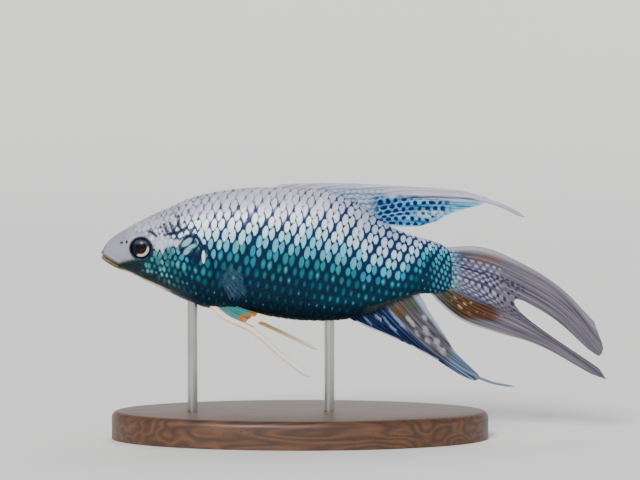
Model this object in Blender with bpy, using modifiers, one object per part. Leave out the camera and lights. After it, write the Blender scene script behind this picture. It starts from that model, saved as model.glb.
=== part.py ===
"""A paradise fish, life size and still, gliding to the left above a plain display stand.

The head points along -X, the tail along +X, the back is up, and the flank on the -Y side is the left one.
Lengths are in millimetres here and become metres as each mesh is made. The floor is z = 0.
"""

import math

import bmesh
import bpy
import numpy as np

MM = 0.001

# Driving sizes
GAP = 0.3
FIN_MEMBRANE = 0.5
FIN_RAY_RISE = 0.38
FIN_TIP = 0.3
FIN_ROOT_FLESH = 0.35
FIN_NOTCH = 0.35

# The body from the snout to the end of the tail root: x, height of the back, height of the belly, half width.
STATIONS = (
    (-35.6, 33.3, 33.3, 0.0),
    (-35.45, 34.1, 32.6, 0.95),
    (-35.1, 34.8, 32.1, 1.65),
    (-34.5, 35.6, 31.6, 2.25),
    (-33.5, 36.5, 31.0, 2.8),
    (-32.2, 37.3, 30.4, 3.3),
    (-30.5, 38.3, 29.8, 3.8),
    (-28.4, 39.4, 28.6, 4.25),
    (-25.7, 40.7, 27.3, 4.75),
    (-23.0, 41.8, 26.0, 5.15),
    (-20.3, 43.1, 24.8, 5.5),
    (-16.7, 44.1, 23.7, 5.75),
    (-11.9, 44.9, 23.1, 5.9),
    (-6.5, 45.2, 22.3, 5.8),
    (-0.9, 45.1, 21.5, 5.5),
    (4.5, 44.7, 21.3, 5.0),
    (9.0, 43.3, 21.7, 4.4),
    (13.0, 40.6, 22.9, 3.7),
    (16.9, 37.9, 24.6, 3.0),
    (20.9, 36.4, 26.0, 2.35),
    (24.1, 35.5, 26.2, 1.85),
    (26.2, 34.5, 26.5, 1.4),
    (27.3, 32.8, 27.8, 0.9),
    (27.5, 30.3, 30.3, 0.0),
)
BODY_SIDES = 36
BODY_RINGS = 2 * (len(STATIONS) - 1)
WIDEST_SHARE = 0.52
BACK_ROUNDNESS = 0.96
BELLY_ROUNDNESS = 0.88

# The tail swings away from the flank that is seen, by a parabola that starts behind the belly.
SWING_FROM = 8.0
SWING_TO = 55.0
SWING_BY = 5.5

# The mouth slants down from the snout to its corner, and the jaw ends below the front of the eye.
GAPE_FRONT = (-35.6, 33.2)
GAPE_CORNER = (-32.1, 31.2)
JAW_JOINT = (-31.2, 30.8)
LIP_RISE = 0.26
LIP_OFFSET = 0.4
LIP_SPREAD = 0.3

EYE_AT = (-28.35, 34.5)
EYE_RADIUS = 1.95
EYE_BULGE = 1.1
EYE_SUNK = 0.35
EYE_YAW = math.radians(12)
NOSTRILS = ((-31.9, 35.5), (-30.95, 35.65))
NOSTRIL_RADIUS = 0.24

# The rear rim of the head, from the nape to the throat, and the outline of the gill cover in front of it.
GILL_RIM = (
    (-22.3, 46.0),
    (-20.2, 40.9),
    (-17.5, 36.9),
    (-15.7, 33.7),
    (-14.8, 31.1),
    (-15.7, 28.8),
    (-17.5, 26.6),
    (-19.1, 24.5),
    (-19.8, 20.5),
)
GILL_COVER = (
    (-20.9, 35.9),
    (-18.7, 36.4),
    (-17.0, 35.1),
    (-15.8, 33.0),
    (-15.2, 31.1),
    (-16.1, 29.0),
    (-17.9, 27.2),
    (-19.8, 26.3),
    (-21.6, 26.6),
    (-22.5, 28.4),
    (-22.1, 30.8),
    (-21.6, 33.4),
)
GILL_COVER_THICKNESS = 1.0
GILL_BULGE = 0.22

TAIL_CUT = ((21.9, 40.0), (22.6, 34.5), (22.7, 29.5), (21.9, 22.0))

# Each fin is a sheet through a few guide rays of the side view: the ray's number, then points from its root,
# sunk in the flesh, out to its tip. A ray between two guides takes its path from both. A strand is a ray
# that trails on past the sheet, as thick as given at its root and at its tip.
DORSAL_GUIDES = (
    (0, ((-6.8, 44.5), (-5.0, 45.2), (-3.1, 45.9))),
    (4, ((-1.8, 44.4), (1.8, 45.4), (6.3, 46.1))),
    (7, ((3.2, 44.0), (10.8, 45.1), (18.9, 45.5))),
    (9, ((7.0, 43.2), (17.1, 44.6), (29.0, 44.7))),
    (10, ((9.0, 42.3), (20.0, 43.8), (34.0, 43.2))),
    (11, ((11.0, 40.9), (20.8, 42.4), (33.2, 42.2))),
    (12, ((12.6, 39.9), (19.8, 40.9), (27.6, 40.6))),
    (13, ((13.5, 39.3), (19.0, 39.8), (24.7, 39.1))),
    (14, ((14.4, 38.7), (17.6, 38.5), (21.4, 38.1))),
)
DORSAL_RAYS = 14
DORSAL_STRAND = ((14.0, 43.0), (24.0, 44.0), (31.5, 43.3), (36.4, 41.9), (40.8, 39.7))
ANAL_GUIDES = (
    (0, ((7.7, 22.4), (10.2, 21.0), (13.0, 19.7))),
    (4, ((10.3, 22.9), (14.6, 20.0), (19.4, 17.0))),
    (8, ((12.8, 23.8), (18.0, 18.9), (24.8, 14.0))),
    (10, ((14.9, 24.7), (21.8, 17.4), (31.6, 10.2))),
    (11, ((16.2, 25.3), (22.8, 18.0), (33.4, 10.2))),
    (12, ((17.3, 25.6), (23.4, 18.8), (32.0, 11.6))),
    (14, ((18.9, 26.3), (23.4, 20.6), (28.0, 15.6))),
    (16, ((21.0, 27.0), (23.6, 22.4), (26.3, 18.3))),
)
ANAL_RAYS = 16
ANAL_STRAND = ((16.4, 24.6), (23.2, 17.4), (30.6, 11.7), (34.6, 9.9), (39.1, 9.0))
CAUDAL_GUIDES = (
    (0, ((25.4, 34.4), (33.0, 34.4), (39.8, 31.6), (46.8, 27.3), (53.6, 20.6))),
    (3, ((25.8, 33.2), (33.1, 32.2), (40.3, 29.2), (47.9, 24.5), (55.3, 15.6))),
    (5, ((26.0, 31.8), (33.7, 29.6), (40.2, 26.8), (47.2, 22.5), (54.5, 14.3))),
    (7, ((26.1, 30.7), (33.8, 27.9), (40.2, 24.7), (46.5, 21.0), (52.4, 15.7))),
    (8, ((26.1, 29.6), (33.5, 26.4), (38.7, 23.3), (43.2, 19.9), (54.6, 12.1))),
    (11, ((25.5, 28.5), (32.6, 24.2), (38.9, 21.4), (46.3, 16.9), (55.9, 10.0))),
    (14, ((22.6, 27.2), (25.2, 24.3), (28.6, 21.5), (34.9, 19.1), (41.8, 17.1), (53.2, 11.0))),
)
CAUDAL_RAYS = 14
FORK_RAYS = (7, 8)
FORK_SHARE = 0.48
PELVIC_NEAR_GUIDES = (
    (0, ((-16.3, 24.9), (-12.4, 21.8), (-8.7, 20.0))),
    (5, ((-14.3, 25.3), (-10.2, 23.7), (-5.7, 22.4))),
)
PELVIC_NEAR_STRAND = ((-16.6, 24.9), (-13.5, 22.2), (-9.0, 20.1), (-3.0, 15.2), (1.8, 11.5))
PELVIC_FAR_GUIDES = (
    (0, ((-15.9, 25.2), (-12.4, 22.7), (-8.2, 20.9))),
    (5, ((-14.3, 25.3), (-10.6, 24.0), (-6.6, 23.1))),
)
PELVIC_FAR_STRAND = ((-16.2, 25.2), (-11.5, 22.3), (-7.6, 20.7), (-1.5, 17.8), (3.2, 15.5))
PELVIC_RAYS = 5
PECTORAL_GUIDES = (
    (0, ((-14.6, 31.7), (-12.4, 31.3), (-9.9, 30.0))),
    (4, ((-14.6, 30.8), (-11.9, 28.8), (-9.0, 26.4))),
    (8, ((-14.6, 29.9), (-13.4, 27.6), (-12.3, 25.2))),
)
PECTORAL_RAYS = 8
DORSAL_STRAND_WIDTHS = (1.0, 0.7)
ANAL_STRAND_WIDTHS = (0.85, 0.4)
PELVIC_NEAR_WIDTHS = (1.1, 0.65)
PELVIC_FAR_WIDTHS = (0.8, 0.45)

# How a paired fin leans out from the flank: where it starts in the side view, the way it runs there, its
# distance from the middle plane at its root, how much further out it goes, and how soon.
PELVIC_LEAN = ((-16.0, 25.4), (0.75, -0.66), 1.4, 4.6, 12.0)
PECTORAL_LEAN = ((-14.6, 30.8), (1.0, 0.0), 4.8, 2.7, 2.2)

# The stand: an oval plinth with a softened edge, and two rods that stand in sockets in it.
PLINTH_LENGTH = 68.0
PLINTH_WIDTH = 36.0
PLINTH_HEIGHT = 5.0
PLINTH_EDGE = 1.2
ROD_RADIUS = 0.9
ROD_SUNK = 3.0
ROD_STANDS = {"stand_rod_front": -19.4, "stand_rod_rear": 5.3}

# Base colour, roughness and metallic value of each material.
FINISHES = {
    "back_skin": ((0.52, 0.56, 0.66), 0.35, 0.2),
    "flank_skin": ((0.10, 0.36, 0.48), 0.35, 0.2),
    "dark_fin": ((0.05, 0.13, 0.35), 0.45, 0.0),
    "pale_fin": ((0.55, 0.52, 0.56), 0.45, 0.0),
    "orange_fin": ((0.72, 0.36, 0.10), 0.45, 0.0),
    "clear_fin": ((0.30, 0.42, 0.50), 0.35, 0.0),
    "eye": ((0.03, 0.02, 0.03), 0.08, 0.0),
    "walnut": ((0.09, 0.045, 0.025), 0.45, 0.0),
    "steel": ((0.62, 0.62, 0.60), 0.30, 1.0),
}


def smooth(places, values, steady=False):
    """A function that runs smoothly through the rows of values, which belong to the given places.

    A steady one never swings past the values on either side of it.
    """
    places = np.asarray(places, float)
    values = np.asarray(values, float)
    steps = np.diff(places)[:, None]
    slopes = np.diff(values, axis=0) / steps
    inner = (slopes[:-1] * steps[1:] + slopes[1:] * steps[:-1]) / (steps[:-1] + steps[1:])
    if steady:
        product = slopes[:-1] * slopes[1:]
        total = np.where(product > 0, slopes[:-1] + slopes[1:], 1.0)
        inner = np.where(product > 0, 2 * product / total, 0.0)
    tangents = np.vstack((slopes[:1], inner, slopes[-1:]))

    def at(place):
        place = min(max(place, places[0]), places[-1])
        k = min(int(np.searchsorted(places, place, "right")) - 1, len(steps) - 1)
        step = steps[k, 0]
        t = (place - places[k]) / step
        start = values[k] * (1 + 2 * t) + tangents[k] * t * step
        end = values[k + 1] * (3 - 2 * t) - tangents[k + 1] * (1 - t) * step
        return start * (1 - t) ** 2 + end * t**2

    return at


def along(points):
    """A smooth function of the share of the way, 0 to 1, through a row of points."""
    points = np.asarray(points, float)
    lengths = np.linalg.norm(np.diff(points, axis=0), axis=1)
    ways = np.concatenate(([0], np.cumsum(lengths)))
    return smooth(ways / ways[-1], points)


station = smooth(range(len(STATIONS)), STATIONS)


def section(share):
    """The body's cross section at a share of its stations: x, back, belly, half width, level of the widest."""
    x, back, belly, half_width = station(share * (len(STATIONS) - 1))
    return x, back, belly, half_width, belly + WIDEST_SHARE * (back - belly)


def section_at(x):
    """The cross section that stands at a place along the body."""
    low, high = 0.0, 1.0
    for _ in range(40):
        middle = (low + high) / 2
        low, high = (middle, high) if section(middle)[0] < x else (low, middle)
    return section(low)


def half_width_at(x, z):
    """How far the flank stands from the middle plane, at a point of the side view."""
    _, back, belly, half_width, level = section_at(x)
    reach, power = (back - level, BACK_ROUNDNESS) if z > level else (level - belly, BELLY_ROUNDNESS)
    cosine = min(abs(z - level) / reach, 1.0) ** (1 / power)
    return half_width * math.sqrt(1 - cosine**2) ** power


def body_point(share, turn, inset):
    """A point of the body's surface, or of one that lies inside it by the inset. Turn 0 is the back."""
    x, back, belly, half_width, level = section(share)
    up = math.cos(turn) >= 0
    power = BACK_ROUNDNESS if up else BELLY_ROUNDNESS
    reach = max((back - level if up else level - belly) - inset, 0.0)
    side = max(half_width - inset, 0.0)
    across = math.copysign(side * abs(math.sin(turn)) ** power, math.sin(turn))
    return x, across, level + math.copysign(reach * abs(math.cos(turn)) ** power, math.cos(turn))


def distance_to_segment(point, start, end):
    """The distance of a point of the side view from a line, with the side it is on and its share of the way."""
    point, start, end = (np.array(p, float) for p in (point, start, end))
    way = end - start
    share = float(np.dot(point - start, way) / np.dot(way, way))
    side = (way[0] * (point[1] - start[1]) - way[1] * (point[0] - start[0])) / np.linalg.norm(way)
    return side, share


def relief(x, z):
    """How far the skin stands out: a lip on each side of the gape, and the swell of the gill cover."""
    side, share = distance_to_segment((x, z), GAPE_FRONT, GAPE_CORNER)
    fade = min(max((1.15 - share) / 0.4, 0.0), 1.0)
    lips = LIP_RISE * fade * math.exp(-(((abs(side) - LIP_OFFSET) / LIP_SPREAD) ** 2))
    middle = np.mean(GILL_COVER, axis=0)
    spread = math.hypot((x - middle[0]) / 3.6, (z - middle[1]) / 5.2)
    return lips + GILL_BULGE * math.exp(-(spread**4))


def new_object(name, bm, collection):
    """A mesh object from a mesh under construction in millimetres."""
    mesh = bpy.data.meshes.new(name)
    bmesh.ops.scale(bm, vec=(MM, MM, MM), verts=bm.verts)
    bmesh.ops.recalc_face_normals(bm, faces=bm.faces)
    bm.to_mesh(mesh)
    bm.free()
    made = bpy.data.objects.new(name, mesh)
    collection.objects.link(made)
    return made


def new_collection(name):
    """A collection of its own in the scene."""
    made = bpy.data.collections.new(name)
    bpy.context.scene.collection.children.link(made)
    return made


def body(name, collection, grow=0.0, inset=0.0):
    """The whole body as one closed surface: a globe whose rings are laid on the stations."""
    bm = bmesh.new()
    bmesh.ops.create_uvsphere(bm, u_segments=BODY_SIDES, v_segments=BODY_RINGS, radius=1.0)
    for v in bm.verts:
        share = math.acos(max(-1.0, min(1.0, v.co.z))) / math.pi
        v.co = body_point(share, math.atan2(v.co.y, v.co.x), inset)
    bmesh.ops.recalc_face_normals(bm, faces=bm.faces)
    bm.normal_update()
    shifts = [v.normal * (grow if inset else relief(v.co.x, v.co.z) + grow) for v in bm.verts]
    for v, shift in zip(bm.verts, shifts):
        v.co += shift
    return new_object(name, bm, collection)


def grown(outline, by):
    """A closed outline of the side view, pushed outwards all round."""
    points = np.asarray(outline, float)
    x, z = points.T
    area = np.sum(x * np.roll(z, -1) - np.roll(x, -1) * z) / 2
    before = points - np.roll(points, 1, axis=0)
    after = np.roll(points, -1, axis=0) - points
    normals = [np.stack((e[:, 1], -e[:, 0]), axis=1) for e in (before, after)]
    normals = [n / np.linalg.norm(n, axis=1)[:, None] * math.copysign(1, area) for n in normals]
    middle = normals[0] + normals[1]
    return points + by * 2 * middle / np.sum(middle**2, axis=1)[:, None]


def rounded(outline, count):
    """A closed outline with more points, on a smooth curve through the given ones."""
    closed = list(outline) * 3
    curve = smooth(range(len(closed)), closed)
    first = len(outline)
    return [tuple(curve(first + first * k / count)) for k in range(count)]


def prism(name, outline, y_low, y_high, collection):
    """A side view outline made solid between two planes of y."""
    bm = bmesh.new()
    face = bm.faces.new([bm.verts.new((x, y_low, z)) for x, z in outline])
    made = bmesh.ops.extrude_face_region(bm, geom=[face])["geom"]
    moved = [g for g in made if isinstance(g, bmesh.types.BMVert)]
    bmesh.ops.translate(bm, verts=moved, vec=(0, y_high - y_low, 0))
    return new_object(name, bm, collection)


def boolean(obj, operation, *cutters):
    """Cuts or keeps what the cutters cover, one after another."""
    for cutter in cutters:
        modifier = obj.modifiers.new(cutter.name, "BOOLEAN")
        modifier.operation = operation
        modifier.object = cutter
        modifier.solver = "EXACT"


def volume_of(faces):
    """The volume that a closed group of faces holds."""
    total = 0.0
    for face in faces:
        first, *others = (v.co for v in face.verts)
        total += sum(first.dot(b.cross(c)) for b, c in zip(others, others[1:])) / 6
    return total


def keep_largest(bm):
    """Drops every closed surface but the largest, such as a scrap that a cut leaves."""
    left = set(bm.faces)
    groups = []
    while left:
        group, edge = set(), [left.pop()]
        while edge:
            face = edge.pop()
            group.add(face)
            near = {f for e in face.edges for f in e.link_faces} & left
            left -= near
            edge.extend(near)
        groups.append(group)
    groups.sort(key=volume_of)
    extra = [f for group in groups[:-1] for f in group]
    bmesh.ops.delete(bm, geom=extra, context="FACES")


def swing(x):
    """How far the tail's swing carries a place along the fish to the far side, in millimetres."""
    share = max(0.0, (x - SWING_FROM) / (SWING_TO - SWING_FROM))
    return SWING_BY * share**2


def finished(obj, finish, flexes=True):
    """Applies an object's modifiers, keeps its largest surface, swings it with the tail and gives its finish."""
    graph = bpy.context.evaluated_depsgraph_get()
    mesh = bpy.data.meshes.new_from_object(obj.evaluated_get(graph))
    obj.modifiers.clear()
    obj.data = mesh
    bm = bmesh.new()
    bm.from_mesh(mesh)
    keep_largest(bm)
    bmesh.ops.triangulate(bm, faces=[f for f in bm.faces if len(f.verts) > 3])
    for v in bm.verts:
        v.co.y += swing(v.co.x / MM) * MM * flexes
    bm.to_mesh(mesh)
    bm.free()
    mesh.name = obj.name
    mesh.materials.clear()
    mesh.materials.append(material(finish))
    mesh.shade_smooth()
    mesh.set_sharp_from_angle(angle=math.radians(35))
    return obj


def material(finish):
    """The Principled material of that name, made on its first use."""
    if finish in bpy.data.materials:
        return bpy.data.materials[finish]
    colour, roughness, metallic = FINISHES[finish]
    made = bpy.data.materials.new(finish)
    made.use_nodes = True
    shader = made.node_tree.nodes["Principled BSDF"]
    shader.inputs["Base Color"].default_value = (*colour, 1)
    shader.inputs["Roughness"].default_value = roughness
    shader.inputs["Metallic"].default_value = metallic
    made.diffuse_color = (*colour, 1)
    return made


def as_helper(obj):
    """Marks a cutter, which is no part of the model."""
    obj.hide_render = True
    obj.display_type = "WIRE"
    return obj


def leaning(point, lean, side):
    """A point of the side view, carried out to its place on a fin that leans from the middle plane."""
    x, z = point
    if lean is None:
        return x, 0.0, z
    (start_x, start_z), (way_x, way_z), root, flare, spread = lean
    distance = max(0.0, (x - start_x) * way_x + (z - start_z) * way_z)
    return x, side * (root + flare * (1 - math.exp(-distance / spread))), z


def strand(name, points, widths, lean, side, collection):
    """A long tapering ray: a globe drawn out along its path, with its width at the root and at the tip."""
    bm = bmesh.new()
    bmesh.ops.create_uvsphere(bm, u_segments=8, v_segments=14, radius=1.0)
    path = along([leaning(point, lean, side) for point in points])
    for v in bm.verts:
        share = math.acos(max(-1.0, min(1.0, v.co.z))) / math.pi
        radius = (widths[0] + (widths[1] - widths[0]) * share) / 2
        ahead = path(min(share + 0.01, 1.0)) - path(max(share - 0.01, 0.0))
        slope = math.atan2(ahead[2], ahead[0])
        reach = radius * min(1.0, math.hypot(v.co.x, v.co.y) / 0.3)
        turn = math.atan2(v.co.y, v.co.x)
        up = reach * math.cos(turn)
        v.co = path(share) + (-up * math.sin(slope), reach * math.sin(turn), up * math.cos(slope))
    return new_object(name, bm, collection)


def fin(name, guides, rays, rows, finish, collection, flesh, long_ray=None, slit=None, lean=None, side=0):
    """A fin as one sheet with a ridge along each ray, thin at its tips and cut to the skin at its root.

    The long ray is a strand's path and its widths. The slit is two ray numbers and a share of the way:
    beyond it no membrane joins those rays.
    """
    columns = 2 * rays
    bm = bmesh.new()
    bmesh.ops.create_grid(bm, x_segments=columns, y_segments=rows, size=0.5)
    numbers = [number for number, _ in guides]
    paths = [along(points) for _, points in guides]
    length = max(math.dist(points[0], points[-1]) for _, points in guides)
    thickest = FIN_MEMBRANE + FIN_RAY_RISE + FIN_ROOT_FLESH
    weights = {}
    for v in bm.verts:
        column = round((v.co.x + 0.5) * columns)
        share = v.co.y + 0.5
        on_ray = column % 2 == 0
        reach = share if on_ray else share * (1 - FIN_NOTCH / length)
        point = smooth(numbers, [path(reach) for path in paths], steady=True)(column / 2)
        v.co = leaning(point, lean, side)
        ridge = FIN_RAY_RISE * (1 - share) ** 0.5 if on_ray else 0.0
        sheet = FIN_MEMBRANE + (FIN_TIP - FIN_MEMBRANE) * share**4
        root = FIN_ROOT_FLESH * max(0.0, 1 - 3 * share)
        weights[v.index] = (sheet + ridge + root) / thickest
        v.select = slit is not None and share > slit[2] and slit[0] < column / 2 < slit[1]
    if slit:
        bmesh.ops.delete(bm, geom=[v for v in bm.verts if v.select], context="VERTS")
    bmesh.ops.triangulate(bm, faces=bm.faces, quad_method="FIXED")
    layer = bm.verts.layers.deform.verify()
    for v in bm.verts:
        v[layer][0] = weights[v.index]
    made = new_object(name, bm, collection)
    made.vertex_groups.new(name="thickness")
    wall = made.modifiers.new("thickness", "SOLIDIFY")
    wall.thickness = thickest * MM
    wall.offset = 0
    wall.vertex_group = "thickness"
    if long_ray:
        helper = bpy.data.collections["cutters"]
        boolean(made, "UNION", as_helper(strand(f"{name}_strand", *long_ray, lean, side, helper)))
    boolean(made, "DIFFERENCE", flesh)
    return finished(made, finish)


def eyeball(name, side, grow, collection):
    """A flattened globe set in the side of the head, turned to face out along the skin."""
    x, z = EYE_AT
    depth = half_width_at(x, z) + EYE_SUNK - EYE_BULGE
    bm = bmesh.new()
    bmesh.ops.create_uvsphere(bm, u_segments=20, v_segments=12, radius=1.0)
    for v in bm.verts:
        radius = EYE_RADIUS + grow
        out = (EYE_BULGE + grow) * v.co.z
        across = radius * v.co.x
        v.co = (
            x + across * math.cos(EYE_YAW) - out * math.sin(EYE_YAW),
            side * (depth + out * math.cos(EYE_YAW) + across * math.sin(EYE_YAW)),
            z + radius * v.co.y,
        )
    return new_object(name, bm, collection)


def drill(name, x, z, side, collection):
    """A small round cutter for one nostril."""
    bm = bmesh.new()
    bmesh.ops.create_cone(
        bm, cap_ends=True, segments=8, radius1=NOSTRIL_RADIUS, radius2=NOSTRIL_RADIUS, depth=2.2
    )
    middle = side * (half_width_at(x, z) + 0.45)
    for v in bm.verts:
        v.co = (x + v.co.x, middle + v.co.z, z + v.co.y)
    return new_object(name, bm, collection)


def head_and_gill_covers(parts, cutters):
    """The head back to its gill rim, with the jaw, gill covers, eyes and nostrils taken out of it."""
    rim = [tuple(along(GILL_RIM)(k / 16)) for k in range(17)]
    front = [(-45.0, 20.5), (-45.0, 46.0)]
    head_region = as_helper(prism("head_region", rim + front, -12, 12, cutters))

    slope = (GAPE_CORNER[1] - GAPE_FRONT[1]) / (GAPE_CORNER[0] - GAPE_FRONT[0])
    ahead = (-40.0, GAPE_FRONT[1] + slope * (-40.0 - GAPE_FRONT[0]))
    jaw_outline = (ahead, GAPE_CORNER, JAW_JOINT, (JAW_JOINT[0] - 0.5, 27.0), (-40.0, 27.0))
    jaw_region = as_helper(prism("jaw_region", jaw_outline, -8, 8, cutters))
    jaw_space = as_helper(prism("jaw_space", grown(jaw_outline, GAP), -8, 8, cutters))

    head = body("head", parts)
    boolean(head, "INTERSECT", head_region)
    boolean(head, "DIFFERENCE", jaw_space)
    cover_outline = rounded(GILL_COVER, 30)
    core = as_helper(body("gill_core", cutters, inset=GILL_COVER_THICKNESS))
    deep_core = as_helper(body("deep_gill_core", cutters, inset=GILL_COVER_THICKNESS + GAP))
    for word, side in (("left", -1), ("right", 1)):
        lowest, highest = sorted((side * 1.5, side * 12))
        region = as_helper(prism(f"cover_region_{word}", cover_outline, lowest, highest, cutters))
        pocket = prism(f"cover_pocket_{word}", grown(cover_outline, GAP), lowest, highest, cutters)
        boolean(as_helper(pocket), "DIFFERENCE", deep_core)
        socket = as_helper(eyeball(f"socket_{word}", side, GAP, cutters))
        boolean(head, "DIFFERENCE", pocket, socket)
        for number, (x, z) in enumerate(NOSTRILS):
            hole = as_helper(drill(f"nostril_{word}_{number}", x, z, side, cutters))
            boolean(head, "DIFFERENCE", hole)
        cover = body(f"gill_cover_{word}", parts)
        boolean(cover, "INTERSECT", region)
        boolean(cover, "DIFFERENCE", core)
        finished(cover, "flank_skin")
        finished(eyeball(f"eye_{word}", side, 0.0, parts), "eye")
    finished(head, "back_skin")

    jaw = body("lower_jaw", parts)
    boolean(jaw, "INTERSECT", jaw_region)
    finished(jaw, "orange_fin")
    return rim, front


def trunk_and_tail(parts, cutters, rim, front):
    """The trunk from the gill rim to the tail cut, and the short tail root behind it."""
    head_space = as_helper(prism("head_space", grown(rim + front, GAP), -12, 12, cutters))
    cut = [tuple(along(TAIL_CUT)(k / 8)) for k in range(9)]
    behind = [(35.0, 22.0), (35.0, 40.0)]
    tail_region = as_helper(prism("tail_region", cut + behind, -12, 12, cutters))
    tail_space = as_helper(prism("tail_space", grown(cut + behind, GAP), -12, 12, cutters))

    trunk = body("trunk", parts)
    boolean(trunk, "DIFFERENCE", head_space, tail_space)
    finished(trunk, "flank_skin")
    tail = body("tail_root", parts)
    boolean(tail, "INTERSECT", tail_region)
    finished(tail, "flank_skin")


def fins(parts, flesh):
    """The three fins of the middle plane and the two pairs."""
    dorsal = (DORSAL_STRAND, DORSAL_STRAND_WIDTHS)
    anal = (ANAL_STRAND, ANAL_STRAND_WIDTHS)
    fin("dorsal_fin", DORSAL_GUIDES, DORSAL_RAYS, 8, "dark_fin", parts, flesh, long_ray=dorsal)
    fin("anal_fin", ANAL_GUIDES, ANAL_RAYS, 8, "dark_fin", parts, flesh, long_ray=anal)
    fork = (*FORK_RAYS, FORK_SHARE)
    fin("caudal_fin", CAUDAL_GUIDES, CAUDAL_RAYS, 14, "pale_fin", parts, flesh, slit=fork)
    pelvic = {"rays": PELVIC_RAYS, "rows": 7, "collection": parts, "flesh": flesh, "lean": PELVIC_LEAN}
    near = (PELVIC_NEAR_STRAND, PELVIC_NEAR_WIDTHS)
    far = (PELVIC_FAR_STRAND, PELVIC_FAR_WIDTHS)
    fin("pelvic_fin_left", PELVIC_NEAR_GUIDES, finish="pale_fin", long_ray=near, side=-1, **pelvic)
    fin("pelvic_fin_right", PELVIC_FAR_GUIDES, finish="orange_fin", long_ray=far, side=1, **pelvic)
    for word, side in (("left", -1), ("right", 1)):
        fin(
            f"pectoral_fin_{word}",
            PECTORAL_GUIDES,
            PECTORAL_RAYS,
            7,
            "clear_fin",
            parts,
            flesh,
            lean=PECTORAL_LEAN,
            side=side,
        )


def rod(name, x, radius, low, high, collection):
    """An upright round bar in the middle plane."""
    bm = bmesh.new()
    bmesh.ops.create_cone(
        bm, cap_ends=True, segments=20, radius1=radius, radius2=radius, depth=high - low
    )
    bmesh.ops.translate(bm, verts=bm.verts, vec=(x, 0, (low + high) / 2))
    return new_object(name, bm, collection)


def stand(parts, cutters, flesh):
    """The plinth, and the rods from their sockets up to the belly."""
    bm = bmesh.new()
    bmesh.ops.create_cone(
        bm, cap_ends=True, segments=56, radius1=1.0, radius2=1.0, depth=PLINTH_HEIGHT
    )
    bmesh.ops.scale(bm, vec=(PLINTH_LENGTH / 2, PLINTH_WIDTH / 2, 1), verts=bm.verts)
    bmesh.ops.translate(bm, verts=bm.verts, vec=(0, 0, PLINTH_HEIGHT / 2))
    top = [e for e in bm.edges if all(v.co.z > PLINTH_HEIGHT / 2 for v in e.verts)]
    rim_edges = [e for e in top if len(e.link_faces) == 2]
    bmesh.ops.bevel(bm, geom=rim_edges, offset=PLINTH_EDGE, segments=3, profile=0.5, affect="EDGES")
    plinth = new_object("stand_plinth", bm, parts)
    for name, x in ROD_STANDS.items():
        socket = rod(f"{name}_socket", x, ROD_RADIUS + GAP, PLINTH_HEIGHT - ROD_SUNK - GAP, 9.0, cutters)
        boolean(plinth, "DIFFERENCE", as_helper(socket))
        made = rod(name, x, ROD_RADIUS, PLINTH_HEIGHT - ROD_SUNK, 30.0, parts)
        boolean(made, "DIFFERENCE", flesh)
        finished(made, "steel", flexes=False)
    finished(plinth, "walnut", flexes=False)


def main():
    for obj in list(bpy.data.objects):
        bpy.data.objects.remove(obj)
    parts = new_collection("paradise_fish")
    cutters = new_collection("cutters")
    flesh = as_helper(body("flesh", cutters, grow=GAP))
    rim, front = head_and_gill_covers(parts, cutters)
    trunk_and_tail(parts, cutters, rim, front)
    fins(parts, flesh)
    stand(parts, cutters, flesh)


main()
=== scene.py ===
import math

import bpy
import numpy as np
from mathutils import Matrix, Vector


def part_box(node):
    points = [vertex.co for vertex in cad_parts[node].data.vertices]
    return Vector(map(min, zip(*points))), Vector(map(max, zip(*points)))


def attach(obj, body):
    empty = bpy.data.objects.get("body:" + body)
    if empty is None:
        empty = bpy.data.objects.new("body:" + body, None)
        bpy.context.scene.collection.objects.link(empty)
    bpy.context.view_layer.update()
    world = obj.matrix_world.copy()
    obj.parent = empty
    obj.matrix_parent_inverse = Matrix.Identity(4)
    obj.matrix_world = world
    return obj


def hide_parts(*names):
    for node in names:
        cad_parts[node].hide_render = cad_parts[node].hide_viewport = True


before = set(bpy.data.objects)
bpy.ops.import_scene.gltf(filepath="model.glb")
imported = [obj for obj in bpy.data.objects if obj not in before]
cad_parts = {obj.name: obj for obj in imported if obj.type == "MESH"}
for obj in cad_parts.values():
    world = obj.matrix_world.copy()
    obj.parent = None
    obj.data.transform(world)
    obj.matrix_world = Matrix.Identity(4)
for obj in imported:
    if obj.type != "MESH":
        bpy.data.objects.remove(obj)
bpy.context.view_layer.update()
MM = 0.001
CREASE = math.radians(50)

# The hide: one smooth skin over the head, trunk and tail root, cast in resin and painted. The lips, the line
# of the mouth, the nostrils and the orbits are pressed into it, and it lies just under the scales.
SKIN_SIDES = 144
SKIN_RINGS = 300
STATIONS = (
    (-35.6, 33.3, 33.3, 0.0),
    (-35.45, 34.1, 32.6, 0.95),
    (-35.1, 34.8, 32.1, 1.65),
    (-34.5, 35.6, 31.6, 2.25),
    (-33.5, 36.5, 31.0, 2.8),
    (-32.2, 37.3, 30.4, 3.3),
    (-30.5, 38.3, 29.8, 3.8),
    (-28.4, 39.4, 28.6, 4.25),
    (-25.7, 40.7, 27.3, 4.75),
    (-23.0, 41.8, 26.0, 5.15),
    (-20.3, 43.1, 24.8, 5.5),
    (-16.7, 44.1, 23.7, 5.75),
    (-11.9, 44.9, 23.1, 5.9),
    (-6.5, 45.2, 22.3, 5.8),
    (-0.9, 45.1, 21.5, 5.5),
    (4.5, 44.7, 21.3, 5.0),
    (9.0, 43.3, 21.7, 4.4),
    (13.0, 40.6, 22.9, 3.7),
    (16.9, 37.9, 24.6, 3.0),
    (20.9, 36.4, 26.0, 2.35),
    (24.1, 35.5, 26.2, 1.85),
    (26.2, 34.5, 26.5, 1.4),
    (27.3, 32.8, 27.8, 0.9),
    (27.5, 30.3, 30.3, 0.0),
)
WIDEST_SHARE = 0.52
BACK_ROUNDNESS = 0.96
BELLY_ROUNDNESS = 0.88
SWING_FROM = 8.0
SWING_TO = 55.0
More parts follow.
